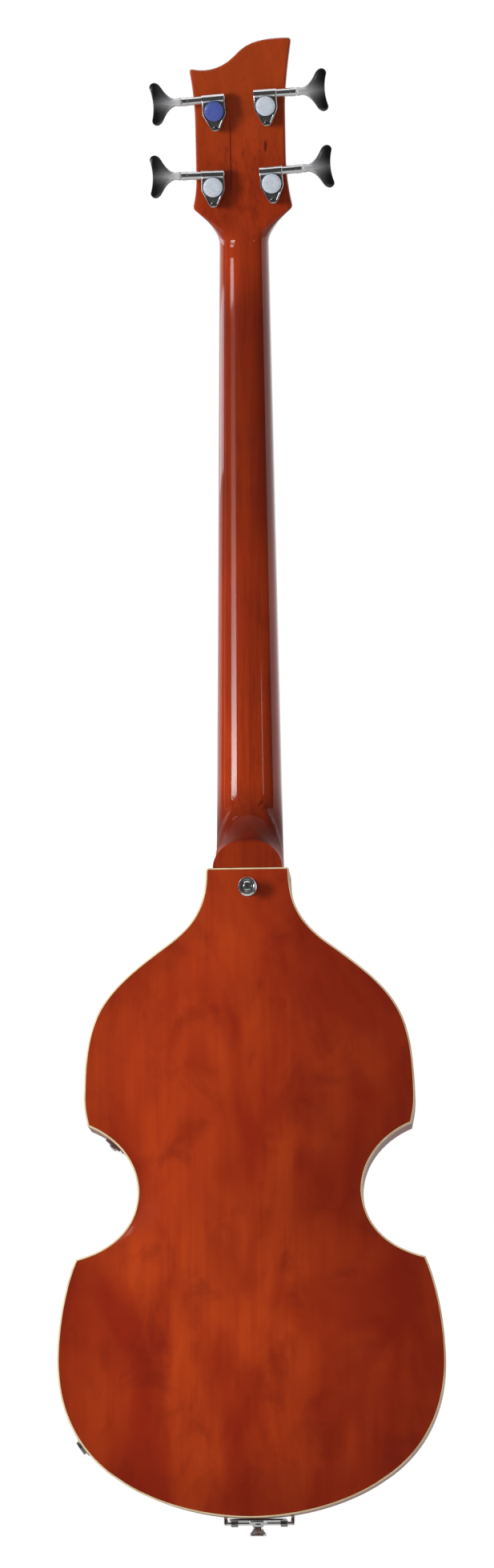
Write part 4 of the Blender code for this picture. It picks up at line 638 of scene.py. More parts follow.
def crest_rings():
    """The headstock from its last straight section up to the S-shaped top edge, which is rounded."""
    tops = [crest(x) for x, _ in whole_ring(box_half(0.0380, 0.0380, HEAD_THICK))]
    rings = []
    for step in range(1, CREST_STEPS + 1):
        share = step / CREST_STEPS
        heights = [HEAD_STRAIGHT + (top - CREST_ROUND - HEAD_STRAIGHT) * share for top in tops]
        rings.append([HEAD_MATRIX @ Vector((*head_section(height)[index], height))
                      for index, height in enumerate(heights)])
    for degrees in (20, 40, 60, 80, 90):
        turn = math.radians(degrees)
        ring = []
        for index, top in enumerate(tops):
            x, y = head_section(top - CREST_ROUND)[index]
            if y > HEAD_THICK / 3:
                y -= CREST_ROUND * (1 - math.cos(turn)) * (y / HEAD_THICK)
            ring.append(HEAD_MATRIX @ Vector((x, y, top - CREST_ROUND * (1 - math.sin(turn)))))
        rings.append(ring)
    return rings


# Where the neck's rings lie: over the collar on the heel, below the nut on the neck, round the nut where the
# neck turns into the headstock, and over the nut on the headstock
HEEL_RINGS = [GAP + 0.0015 * step for step in range(13)] + [0.0200, 0.0206, 0.0209]
HEEL_RINGS += [HEEL_CAP_RISE + 0.0001 + HEEL_SWEEP * (1 - math.cos(math.radians(turn))) for turn in range(0, 91, 5)]
HEEL_RINGS += [0.0560 + 0.0025 * step for step in range(1, 6)]
NECK_START, NECK_END, NECK_STEPS = JOINT - 0.0740, 0.0100, 44
TURN_END = 0.0160
TURN_RINGS = [step * 0.002 - NECK_END for step in range(1, 14)]
HEAD_RINGS = [0.0110 + 0.0015 * step for step in range(1, 12)] + [0.0290 + 0.0025 * step for step in range(31)]


def make_neck():
    """Neck, heel and headstock carved from one piece."""
    rings = [heel_ring(height) for height in HEEL_RINGS]
    rings += [neck_ring(NECK_START - step * (NECK_START - NECK_END) / NECK_STEPS) for step in range(NECK_STEPS + 1)]
    for height in TURN_RINGS:
        share = eased(height, -NECK_END, TURN_END)
        rings.append([a.lerp(b, share) for a, b in zip(neck_ring(-height), head_ring(height - NUT_THICK))])
    rings += [head_ring(height) for height in HEAD_RINGS] + crest_rings()
    vertices, faces = bridged(rings, ends=False)
    count = len(rings[0])
    for base in (0, len(vertices) - count):
        for step in range(BACK_STEPS):
            end_face = (base + step, base + step + 1, base + count - 1 - step, base + (count - step) % count)
            faces.append(tuple(dict.fromkeys(end_face)))
    mesh_piece("carved_neck", "neck", vertices, [face for face in faces if len(face) > 2], neck_wood, 55)


# Modelling by hand


def take(piece, *others):
    """Select these pieces only; the first is the active one."""
    bpy.ops.object.select_all(action="DESELECT")
    for one in (piece, *others):
        one.select_set(True)
    bpy.context.view_layer.objects.active = piece


def settle(piece):
    """Bring a piece back to an unturned and unscaled state at the origin."""
    take(piece)
    bpy.ops.object.transform_apply(location=True, rotation=True, scale=True)
    return piece


def edit(piece):
    take(piece)
    bpy.ops.object.mode_set(mode="EDIT")


def done():
    bpy.ops.object.mode_set(mode="OBJECT")
    return bpy.context.active_object


def pick(kind, test):
    """Select the faces or edges in hand whose middle and direction pass a test."""
    bpy.ops.mesh.select_mode(type=kind)
    bpy.ops.mesh.select_all(action="DESELECT")
    mesh = bpy.context.active_object.data
    work = bmesh.from_edit_mesh(mesh)
    for part in work.faces if kind == "FACE" else work.edges:
        middle = sum((corner.co for corner in part.verts), Vector()) / len(part.verts)
        way = part.normal if kind == "FACE" else (part.verts[1].co - part.verts[0].co).normalized()
        part.select_set(bool(test(middle, way)))
    bmesh.update_edit_mesh(mesh)


def draw_out(axis, stations):
    """Extrude what is selected along an axis through (reach, sizes) stations, of which the first is where it is."""
    here, sizes = stations[0]
    for reach, wanted in stations[1:]:
        move, centre = [0, 0, 0], [0, 0, 0]
        move[axis], centre[axis] = reach - here, reach
        bpy.ops.mesh.extrude_region_move(TRANSFORM_OT_translate={"value": move})
        bpy.ops.transform.resize(value=[new / old for new, old in zip(wanted, sizes)], center_override=centre)
        here, sizes = reach, wanted


def make_normals_outward():
    bpy.ops.mesh.select_all(action="SELECT")
    bpy.ops.mesh.normals_make_consistent(inside=False)


def slab(low, high):
    """A box between two corners."""
    middle = [(a + b) / 2 for a, b in zip(low, high)]
    bpy.ops.mesh.primitive_cube_add(size=1, location=middle, scale=[b - a for a, b in zip(low, high)])
    return settle(bpy.context.active_object)


def turned(profile, steps=40, hollow=False):
    """A round piece drawn up along Z from a circle; the profile is (radius, height) pairs."""
    radius, height = profile[0]
    bpy.ops.mesh.primitive_circle_add(vertices=steps, radius=radius, location=(0, 0, height),
                                      fill_type="NOTHING" if hollow else "NGON")
    bpy.ops.object.mode_set(mode="EDIT")
    bpy.ops.mesh.select_mode(type="VERT")
    bpy.ops.mesh.select_all(action="SELECT")
    draw_out(2, [(tall, (wide, wide, 1)) for wide, tall in profile])
    bpy.ops.mesh.select_all(action="SELECT")
    bpy.ops.mesh.remove_doubles(threshold=0.000002)
    make_normals_outward()
    return settle(done())


def rod(radius, low, high, along, across, steps=40):
    """A round rod whose ends are chamfered."""
    end = radius - across
    return turned([(end, low), (radius, low + along), (radius, high - along), (end, high)], steps)


def raise_faces(piece, height, test):
    """Move the faces that pass a test out along their own directions, with walls round them."""
    edit(piece)
    pick("FACE", test)
    bpy.ops.mesh.extrude_faces_move(TRANSFORM_OT_shrink_fatten={"value": height})
    return done()


def rib_number(middle, count, offset):
    """Number of the rib that a face round Z belongs to, with count ribs to the half turn."""
    return int(math.atan2(middle.y, middle.x) / math.pi * count + offset)


def soften(piece, width, segments=2, angle=30):
    """Round a piece's edges."""
    take(piece)
    bevel = piece.modifiers.new("edges", "BEVEL")
    bevel.width = width
    bevel.segments = segments
    bevel.limit_method = "ANGLE"
    bevel.angle_limit = math.radians(angle)
    bpy.ops.object.modifier_apply(modifier=bevel.name)
    return piece


def round_corners(piece, radius, axis, steps=5, where=lambda middle: True):
    """Round those edges along an axis whose middle passes a test."""
    edit(piece)
    pick("EDGE", lambda middle, way: abs(way[axis]) > 0.99 and where(middle))
    bpy.ops.mesh.bevel(offset=radius, segments=steps, affect="EDGES")
    return done()


def cut(piece, *tools):
    """Cut tools out of a piece."""
    for tool in tools:
        take(piece)
        step = piece.modifiers.new("cut", "BOOLEAN")
        step.operation = "DIFFERENCE"
        step.object = tool
        step.solver = "EXACT"
        bpy.ops.object.modifier_apply(modifier=step.name)
        bpy.data.objects.remove(tool)
    return piece


def stand(piece, matrix):
    """Put a piece where a matrix says."""
    piece.matrix_world = matrix @ piece.matrix_world
    return settle(piece)


def joined(piece, *others):
    take(piece, *others)
    bpy.ops.object.join()
    return piece


def finished(piece, name, finish, node=None, body="root", smooth=35):
    """Name and dress a piece that takes the place of a node, if one is given, and let it ride on its body."""
    take(piece)
    piece.name = name
    piece.data.name = name
    piece.data.materials.clear()
    piece.data.materials.append(finish.material)
    bpy.ops.object.shade_smooth_by_angle(angle=math.radians(smooth))
    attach(piece, body)
    if node:
        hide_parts(node)


def at(x, y, z):
    return Matrix.Translation((x, y, z))


def facing(direction):
    """Turn a piece's Z to a direction."""
    return Vector(direction).to_track_quat("Z", "Y").to_matrix().to_4x4()


def frame_matrix(place, x_axis, z_axis):
    """A frame at a place, given by two of its axes."""
    x, z = Vector(x_axis), Vector(z_axis)
    return at(*place) @ Matrix((x, z.cross(x), z)).transposed().to_4x4()


SIDEWAYS = Matrix.Rotation(math.pi / 2, 4, "Y")
TO_BACK = Matrix.Rotation(-math.pi / 2, 4, "X")
TO_FRONT = Matrix.Rotation(math.pi / 2, 4, "X")
JACK_MATRIX = frame_matrix((0.119915, 0.006045, -0.877567), (-0.565764, 0.0, -0.824567), (0.824567, 0.0, -0.565764))
PANEL_MATRIX = frame_matrix((0.078033, -0.023374, -0.838665), (0.207214, -0.020084, 0.97809),
                            (0.081864, -0.995927, -0.037793))


def screw_head(radius, rise, cross=True):
    """A domed screw head with a cross or a single slot, standing on the origin."""
    head = turned([(radius, -rise), (radius, rise * 0.35), (radius * 0.86, rise * 0.72), (radius * 0.55, rise * 0.95),
                   (radius * 0.2, rise)], 24)
    long, wide = radius * 0.62, radius * 0.10
    for x, y in ((long, wide), (wide, long))[:1 + cross]:
        cut(head, slab((-x, -y, rise * 0.3), (x, y, rise * 2)))
    return head


def screws(places, radius, rise, cross=True):
    """A group of screw heads that stand where matrices say."""
    return joined(*[stand(screw_head(radius, rise, cross), place) for place in places])


# Tuning machines: string, place on the headstock, turn, string's radius and how far in front its turns start
TUNERS = (
    ("e", -0.0219, 0.0435, -4.0, 0.00133, 0.0040),
    ("a", -0.0184, 0.1003, -3.0, 0.00108, 0.0032),
    ("d", 0.0195, 0.0970, -4.0, 0.00083, 0.0032),
    ("g", 0.0213, 0.0414, -0.8, 0.00060, 0.0040),
)
STRING_RADII = [row[4] for row in TUNERS]
HOUSING_HALF = 0.0085
HOUSING_HEIGHT = 0.0088
WORM_OFFSET = 0.0090
WORM_LEVEL = 0.0050
HOUSING_SCREW = 0.0122
CAP_RADIUS = 0.0072
TUBE_END = 0.0232
SHIELD_STATIONS = (     # reach and half width
    (0.0012, HOUSING_HALF), (0.0026, 0.0083), (0.0125, 0.0035), (0.0138, 0.0026), (0.0147, 0.0013),
)
WING_START = TUBE_END + 0.0032
WING_STATIONS = (       # reach, half width and half thickness
    (WING_START, 0.0024, 0.0024), (0.0285, 0.0029, 0.0023), (0.0305, 0.0037, 0.0022), (0.0325, 0.0051, 0.0021),
    (0.0345, 0.0072, 0.0020), (0.0362, 0.0096, 0.0020), (0.0376, 0.0120, 0.0019), (0.0388, 0.0138, 0.0019),
    (0.0400, 0.0149, 0.0019), (0.0413, 0.0156, 0.0018), (0.0425, 0.0158, 0.0018), (0.0437, 0.0156, 0.0017),
    (0.0448, 0.0150, 0.0016), (0.0455, 0.0142, 0.0015), (0.0460, 0.0132, 0.0014), (0.0461, 0.0122, 0.0014),
)
SCOOP_RADIUS = 0.0390
WING_END = 0.0442


def tuner_matrix(x, height, degrees):
    """A tuning machine's frame on the headstock's back: X out to its button, Z away from the wood."""
    side = 1 if x > 0 else -1
    turn = math.radians(degrees)
    outward = (side * math.cos(turn), 0, side * math.sin(turn))
    return HEAD_MATRIX @ frame_matrix((x, HEAD_THICK, height), outward, (0, 1, 0))


def make_shield(tip):
    """The housing's plate: a block drawn out to its screw end, with a face sunk inside a raised rim."""
    shield = slab((-HOUSING_HALF, -WORM_OFFSET, 0.0003), (HOUSING_HALF, SHIELD_STATIONS[0][0], HOUSING_HEIGHT))
    edit(shield)
    pick("FACE", lambda middle, way: way.y > 0.9)
    draw_out(1, [(reach, (wide, 1, 1)) for reach, wide in SHIELD_STATIONS])
    soften(done(), 0.0007, 4, 60)
    edit(shield)
    pick("FACE", lambda middle, way: way.z > 0.999 and middle.z > 0.008)
    for depth in (0.0, -0.0006):
        bpy.ops.mesh.inset(thickness=0.0002, depth=depth)
    done()
    if tip < 0:
        stand(shield, Matrix.Scale(-1, 4, (0, 1, 0)))
        edit(shield)
        make_normals_outward()
        done()
    return shield


def make_housing(label, mount, tip):
    """Die-cast shield, worm barrel and the tube out to the button, and the screw that holds them."""
    inner = HOUSING_HALF - 0.001
    tube = turned([(0.0032, inner), (0.0032, 0.0187), (0.0034, 0.0189), (0.0034, TUBE_END - 0.0003),
                   (0.0031, TUBE_END), (0.0019, TUBE_END), (0.0019, inner)], hollow=True)
    worm_case = joined(rod(0.0039, -HOUSING_HALF, HOUSING_HALF, 0.0003, 0.0003), tube)
    stand(worm_case, at(0, -tip * WORM_OFFSET, WORM_LEVEL) @ SIDEWAYS)
    housing = stand(joined(make_shield(tip), worm_case), mount)
    finished(housing, f"cast_housing_{label}", chrome, f"tuner_housing_{label}", smooth=30)
    screw = stand(screw_head(0.0021, 0.0009), mount @ at(0, tip * HOUSING_SCREW, HOUSING_HEIGHT - 0.0006))
    finished(screw, f"housing_screw_{label}", smoked_chrome)


def make_cap(label, mount):
    """Flat round cap with a fine edge; one still has its film."""
    low = HOUSING_HEIGHT + GAP - 0.0006
    cap = turned([(CAP_RADIUS, low), (CAP_RADIUS, low + 0.0014), (CAP_RADIUS - 0.0001, low + 0.0017),
                  (CAP_RADIUS - 0.0004, low + 0.0019), (CAP_RADIUS * 0.6, low + 0.00195),
                  (CAP_RADIUS * 0.1, low + 0.00195)], 64)
    finished(stand(cap, mount), f"round_cap_{label}", cap_film if label == "d" else cap_plain, f"tuner_cap_{label}")


def make_button(label, mount):
    """Worm, stem and the fishtail button: a hub that flares out into two lobes with a hollow end."""
    start = TUBE_END + 0.0002
    wing = turned([(0.0024, start + 0.0012), (0.0024, WING_START)], 28)
    edit(wing)
    pick("FACE", lambda middle, way: way.z > 0.9)
    draw_out(2, [(reach, (deep, wide, 1)) for reach, wide, deep in WING_STATIONS])
    stand(done(), SIDEWAYS)
    scoop = turned([(SCOOP_RADIUS, -0.01), (SCOOP_RADIUS, 0.01)], 160)
    soften(cut(wing, stand(scoop, at(WING_END + SCOOP_RADIUS, 0, 0))), 0.0005, 3, 40)
    hub = turned([(0.0017, -0.0070), (0.0017, start), (0.0029, start), (0.0032, start + 0.0004),
                  (0.0032, start + 0.0016), (0.0028, start + 0.0036), (0.0026, start + 0.0062), (0.0024, 0.0320),
                  (0.0021, 0.0360), (0.0018, 0.0400), (0.0014, 0.0430)])
    threads = [(0.00225 + 0.0007 * (step % 2), -0.0066 + 0.00095 * step) for step in range(14)]
    worm = turned([(0.00225, -0.0078), *threads, (0.0017, 0.0071)], 24)
    button = joined(wing, stand(joined(hub, worm), SIDEWAYS))
    # Painted sheen: lighter towards the hub and in a band across the middle of the lobes
    painted_sheen = button.data.attributes.new("ridge", "FLOAT", "POINT")
    for index, vertex in enumerate(button.data.vertices):
        out = (vertex.co.x - start) / 0.0190
        painted_sheen.data[index].value = max(0.0, 1 - out) * 0.8 + 0.35 * math.exp(-(vertex.co.y / 0.0040) ** 2)
    stand(button, mount)
    finished(button, f"fishtail_button_{label}", button_chrome, f"tuner_button_{label}", f"tuner_button_{label}",
             smooth=50)


def make_post(label, mount, radius, lead):
    """String post with its gear and the string's turns, and the ferrule it passes through."""
    front = -HEAD_THICK
    start = front - lead
    head = front - 0.0200
    post = turned([(0.0045, head), (0.0047, head + 0.0004), (0.0047, head + 0.0026), (0.0040, head + 0.0034),
                   (0.0040, start - 0.0002), (0.0047, start + 0.0004), (0.0047, -0.0010), (0.0038, -0.0010),
                   (0.0038, 0.0035)])
    cut(post, slab((-0.0009, -0.006, head - 0.001), (0.0009, 0.006, head + 0.0050)))
    gear = raise_faces(turned([(0.0060, 0.0035), (0.0060, 0.0065)]), 0.0004,
                       lambda middle, way: abs(way.z) < 0.5 and rib_number(middle, 20, 20.5) % 2)
    body = f"tuner_post_{label}"
    finished(stand(joined(post, gear), mount), f"string_post_{label}", chrome, body, body, smooth=30)
    turns = []
    for radii in (1, 3, 5):
        bpy.ops.mesh.primitive_torus_add(major_radius=0.0040 + radius, minor_radius=radius, major_segments=48,
                                         minor_segments=12, location=(0, 0, start - radius * radii - 0.0001))
        turns.append(settle(bpy.context.active_object))
    finished(stand(joined(*turns), mount), f"string_turns_{label}", nickel, body=body, smooth=60)
    ferrule = turned([(0.0049, front - 0.0014), (0.0076, front - 0.0014), (0.0081, front - 0.0011),
                      (0.0085, front - 0.0003), (0.0062, front - 0.0003), (0.0062, front + 0.0100),
                      (0.0049, front + 0.0100), (0.0049, front - 0.0014)], 48, hollow=True)
    finished(stand(ferrule, mount), f"post_ferrule_{label}", chrome, f"tuner_ferrule_{label}")


def make_tuners():
    for label, x, height, degrees, radius, lead in TUNERS:
        mount = tuner_matrix(x, height, degrees)
        tip = 1 if x > 0 else -1
        make_housing(label, mount, tip)
        make_cap(label, mount)
        make_button(label, mount @ at(0, -tip * WORM_OFFSET, WORM_LEVEL))
        make_post(label, mount, radius, lead)


# Strap buttons, tailpiece and jack

TAIL_SHIFT = -0.0030            # the tailpiece sits a little to the bass side
TAIL_SPREAD = 0.0480
BRACKET_THICK = 0.0013
BRACKET_LOW = JOINT_Z - BODY_LENGTH - GAP - BRACKET_THICK
BAR_FRONT = TOP_EDGE - 0.0215
BAR_DEPTH = 0.0085
BAR_HALF = 0.0045
BAR_BELOW = (SCALE_LENGTH - JOINT) * math.cos(NECK_TILT) + 0.0655


def make_strap_button(name, matrix, stretch=1.0):
    """Flared strap button with its screw in a dish."""
    tall = 0.0105 * stretch
    profile = ((0.0066, 0), (0.0066, 0.08), (0.0062, 0.13), (0.0050, 0.22), (0.0040, 0.32), (0.0036, 0.42),
               (0.0037, 0.54), (0.0042, 0.66), (0.0052, 0.78), (0.0060, 0.87), (0.0062, 0.92), (0.0062, 0.97),
               (0.0060, 1), (0.0051, 1), (0.0047, 0.98), (0.0044, 0.90), (0.0020, 0.88))
    button = stand(turned([(radius, tall * share) for radius, share in profile], 56), matrix)
    finished(button, f"flared_{name}", chrome, name)
    finished(stand(screw_head(0.0035, 0.0012), matrix @ at(0, 0, tall * 0.88)), f"{name}_screw", chrome)


def make_tail():
    """Bracket bent over the tail, the trapeze tailpiece hinged in its knuckles, and the strap button."""
    aside = at(TAIL_SHIFT, 0, 0)
    hinge = Vector((0, TOP_EDGE - 0.0026, BRACKET_LOW + BRACKET_THICK - 0.0026))
    strap = slab((-0.0205, hinge.y, BRACKET_LOW), (0.0205, TOP_EDGE + 0.0330, BRACKET_LOW + BRACKET_THICK))
    soften(round_corners(strap, 0.0070, 2, 6, lambda middle: middle.y > TOP_EDGE + 0.03), 0.0003)
    cut(strap, slab((-0.0150, hinge.y - 0.004, BRACKET_LOW - 0.004), (0.0150, TOP_EDGE + 0.0010, BRACKET_LOW + 0.004)))
    knuckles = []
    for side in (-1, 1):
        knuckle = turned([(0.0016, -0.0025), (0.0024, -0.0025), (0.0026, -0.0023), (0.0026, 0.0023),
                          (0.0024, 0.0025), (0.0016, 0.0025), (0.0016, -0.0025)], 32, hollow=True)
        knuckles.append(stand(knuckle, at(side * 0.0177, hinge.y, hinge.z) @ SIDEWAYS))
    finished(stand(joined(strap, *knuckles), aside), "bent_tail_bracket", smoked_chrome, "tailpiece_bracket")

    bar_z = JOINT_Z - BAR_BELOW
    bar = slab((-0.0320, BAR_FRONT, bar_z - BAR_HALF), (0.0320, BAR_FRONT + BAR_DEPTH, bar_z + BAR_HALF))
    soften(round_corners(bar, 0.0030, 1), 0.0010, 3)
    for x, radius in zip(spread_places(TAIL_SPREAD), STRING_RADII):
        wide = radius + 0.0006
        cut(bar, slab((x - wide, BAR_FRONT - 0.01, bar_z - 0.01),
                      (x + wide, BAR_FRONT + BAR_DEPTH * 0.45 + wide, bar_z + 0.01)))
    arms = [stand(rod(0.0014, -0.0248, 0.0248, 0.0002, 0.0002, 24), at(*hinge) @ SIDEWAYS)]
    for side in (-1, 1):
        top = Vector((side * 0.0292, BAR_FRONT + BAR_DEPTH / 2, bar_z))
        foot = Vector((side * 0.0240, hinge.y - 0.0010, hinge.z + 0.0060))
        long = (foot - top).length
        arm = turned([(0.0016, 0), (0.0016, long), (0.0015, long + 0.0008), (0.0008, long + 0.0014)], 24)
        arms.append(stand(arm, at(*top) @ facing(foot - top)))
        end = turned([(0.0010, -0.0004), (0.0016, 0), (0.0016, 0.0060), (0.0010, 0.0076)], 24)
        arms.append(stand(end, at(foot.x, foot.y, foot.z + 0.0004) @ facing((0, 0.0010, -0.0060))))
    finished(stand(joined(bar, *arms), aside), "trapeze_tailpiece", chrome, "tailpiece")
    make_strap_button("tail_strap_button",
                      at(TAIL_SHIFT, RIM_MIDDLE, BRACKET_LOW - GAP) @ Matrix.Rotation(math.pi, 4, "X"))


def make_jack():
    """Jack with its washer and hexagonal nut, in the rib."""
    barrel = turned([(0.0032, -0.0240), (0.0046, -0.0240), (0.0046, 0.0003), (0.0073, 0.0003), (0.0078, 0.0008),
                     (0.0078, 0.0014), (0.0072, 0.0019), (0.0044, 0.0019), (0.0044, 0.0040), (0.0042, 0.0041),
                     (0.0034, 0.0041), (0.0032, 0.0039), (0.0032, -0.0240)], 48, hollow=True)
    nut = turned([(0.0043, 0.0018), (0.0058, 0.0018), (0.0058, 0.0038), (0.0053, 0.0041), (0.0043, 0.0041),
                  (0.0043, 0.0018)], 6, hollow=True)
    jack = stand(joined(barrel, soften(nut, 0.0002)), JACK_MATRIX)
    finished(jack, "jack_with_nut", smoked_chrome, "output_jack")


# The front: fretboard, nut, pickups, bridge and controls

BOARD_THICK = 0.0055
BOARD_RADIUS = 0.3000
BOARD_END = -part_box("fretboard")[0].z / math.cos(NECK_TILT) - BOARD_THICK * math.tan(NECK_TILT)
BOARD_COLUMNS = 8
FRETS = 22
INLAID_FRETS = (3, 5, 7, 9, 12, 15, 17, 19, 21)
NUT_SPREAD = 0.0285
PICKUP_SPREAD = 0.0510
STUD_PLACE = 0.0280
HEEL_BUTTON_BELOW = 0.0144


def spread_places(spread):
    """Strings' places across, bass to treble."""
    return [-spread / 2 + spread * step / 3 for step in range(4)]


def string_groove(piece, x, y, z, radius):
    """Cut a round-bottomed groove for a string, open to the front."""
    groove = turned([(radius, -0.02), (radius, 0.02)], 20)
    groove = joined(groove, slab((-radius, -0.01, -0.02), (radius, 0, 0.02)))
    cut(piece, stand(groove, at(x, y, z)))


def fret(number):
    return SCALE_LENGTH * (1 - 2 ** (-number / 12))


def neck_half(distance):
    return neck_size(distance / JOINT)[0]


def crown(x):
    """How much lower the fretboard's front lies at x than in the middle."""
    return x * x / (2 * BOARD_RADIUS)


def arch_tool():
    """A cutter that leaves room for the top's arch."""
    tool = placed("arch_tool", bpy.data.objects["carved_top_plate"].data.copy())
    tool.location = (0, -GAP, 0)
    return settle(tool)


def make_fretboard():
    """Tapered and crowned board with frets of half-round wire and pearl dots."""
    end_half = neck_half(BOARD_END)
    board = slab((-NUT_HALF, -BOARD_THICK, -0.0010), (NUT_HALF, -GAP, -GAP))
    edit(board)
    pick("FACE", lambda middle, way: way.z < -0.9)
    draw_out(2, [(-0.0010, (NUT_HALF, 1, 1)), (-BOARD_END, (end_half, 1, 1))])
    pick("EDGE", lambda middle, way: abs(way.x) > 0.99)
    bpy.ops.mesh.subdivide(number_cuts=BOARD_COLUMNS - 1)
    for column in range(BOARD_COLUMNS + 1):
        share = 2 * column / BOARD_COLUMNS - 1
        pick("EDGE", lambda middle, way: abs(way.z) > 0.9 and middle.y < -BOARD_THICK / 2
             and abs(middle.x - share * (NUT_HALF if middle.z > -0.0011 else (NUT_HALF + end_half) / 2)) < 0.0008)
        bpy.ops.transform.translate(value=(0, crown(share * JOINT_HALF), 0))
    soften(done(), 0.0004, 2, 40)
    finished(stand(board, NECK_MATRIX), "crowned_fretboard", dark_wood, "fretboard")
    wires = []
    for number in range(1, FRETS + 1):
        half = neck_half(fret(number)) - 0.0002
        wire = rod(0.0012, -half, half, 0.0005, 0.0004, 16)
        wires.append(stand(wire, at(0, -BOARD_THICK + 0.0003, -fret(number)) @ SIDEWAYS))
    finished(stand(joined(*wires), NECK_MATRIX), "fret_wires", nickel, smooth=50)
    dots = []
    for number in INLAID_FRETS:
        middle = -(fret(number) + fret(number - 1)) / 2
        for x in (-0.0080, 0.0080) if number == 12 else (0.0,):
            dot = turned([(0.0030, -0.0006), (0.0030, 0.00006), (0.0027, 0.00010)], 32)
            dots.append(stand(dot, at(x, -BOARD_THICK + crown(x), middle) @ TO_FRONT))
    finished(stand(joined(*dots), NECK_MATRIX), "fretboard_dots", pearl)


def make_nut():
    """Slotted bone-coloured nut with a rounded crown."""
    nut = soften(slab((-NUT_HALF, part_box("nut")[0].y, 0), (NUT_HALF, -GAP, NUT_THICK - GAP)), 0.0007, 4)
    for x, radius in zip(spread_places(NUT_SPREAD), STRING_RADII):
        string_groove(nut, x, -(BOARD_THICK + 0.0017) - radius, NUT_THICK / 2, radius + 0.0004)
    finished(stand(nut, NECK_MATRIX), "slotted_nut", ivory, "nut")


def make_pickup(name, opening):
    """Chrome cover with slotted poles in a black ring that stands on the arch."""
    low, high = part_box(f"{name}_pickup_ring")
    inner_low, inner_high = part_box(f"{name}_pickup")
    ring = round_corners(slab(tuple(low), (high.x, TOP_EDGE, high.z)), 0.0050, 1)
    hole = slab((inner_low.x - GAP, low.y - 0.01, inner_low.z - GAP), (inner_high.x + GAP, 0.05, inner_high.z + GAP))
    soften(cut(ring, round_corners(hole, 0.0028, 1)), 0.0008, 3, 50)
    finished(cut(ring, opening), f"bevelled_ring_{name}", black_plastic, f"{name}_pickup_ring")
    face = inner_low.y + 0.0006
    cover = slab((inner_low.x, face, inner_low.z), tuple(inner_high))
    soften(round_corners(cover, 0.0025, 1), 0.0008, 3, 50)
    finished(cover, f"bevelled_cover_{name}", chrome, f"{name}_pickup")
    middle = (inner_low.z + inner_high.z) / 2
    poles = screws([at(x, face, middle) @ TO_FRONT for x in spread_places(PICKUP_SPREAD)], 0.0025, 0.0006, False)
    finished(poles, f"pole_screws_{name}", steel)
    corners = [at(x, low.y + 0.0009, z) @ TO_FRONT for x in (low.x + 0.0040, high.x - 0.0040)
               for z in (low.z + 0.0040, high.z - 0.0040)]
    finished(screws(corners, 0.0021, 0.0009), f"ring_screws_{name}", steel)


def make_bridge(opening):
    """Wooden foot on the arch, knurled thumbwheels on its studs, and the notched saddle."""
    low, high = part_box("bridge_base")
    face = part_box("bridge_thumbwheel_bass")[1].y + 0.0013
    middle = (low.z + high.z) / 2
    foot = slab((low.x, face, low.z), tuple(high))
    soften(round_corners(foot, 0.0050, 1), 0.0012, 3, 50)
    finished(cut(foot, opening), "carved_bridge_foot", dark_wood, "bridge_base")
    threads = [(0.0020 - 0.00018 * (step % 2), -0.0010 + 0.0005 * step) for step in range(19)]
    studs = [stand(turned([(0.0020, -0.0040), *threads, (0.0014, 0.0088)], 24), at(x, face, middle) @ TO_FRONT)
             for x in (-STUD_PLACE, STUD_PLACE)]
    finished(joined(*studs), "threaded_studs", brass)
    for name in ("bass", "treble"):
        node = f"bridge_thumbwheel_{name}"
        start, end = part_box(node)
        thick = end.y - start.y
        wheel = turned([(0.0022, 0), (0.0056, 0), (0.0060, 0.0004), (0.0060, thick - 0.0004), (0.0056, thick),
                        (0.0022, thick), (0.0022, 0)], 56, hollow=True)
        raise_faces(wheel, -0.00025, lambda middle, way: abs(way.z) < 0.3 and math.hypot(middle.x, middle.y) > 0.0055
                    and rib_number(middle, 28, 28.25) % 2)
        stand(wheel, at((start.x + end.x) / 2, end.y, middle) @ TO_FRONT)
        finished(wheel, f"knurled_wheel_{name}", brass, node, f"thumbwheel_{name}", smooth=20)
    low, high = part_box("bridge_saddle")
    saddle = slab(tuple(low), tuple(high))
    soften(round_corners(saddle, 0.0045, 2, 6, lambda middle: middle.y < (low.y + high.y) / 2), 0.0008, 3, 50)
    for x in (-STUD_PLACE, STUD_PLACE):
        cut(saddle, stand(turned([(0.0023, -0.002), (0.0023, 0.0075)], 24), at(x, high.y, middle) @ TO_FRONT))
    for x, radius in zip(spread_places(PICKUP_SPREAD), STRING_RADII):
        string_groove(saddle, x, low.y + 0.0011, middle, radius + 0.0006)
    finished(saddle, "notched_saddle", dark_wood, "bridge_saddle", "bridge_saddle")


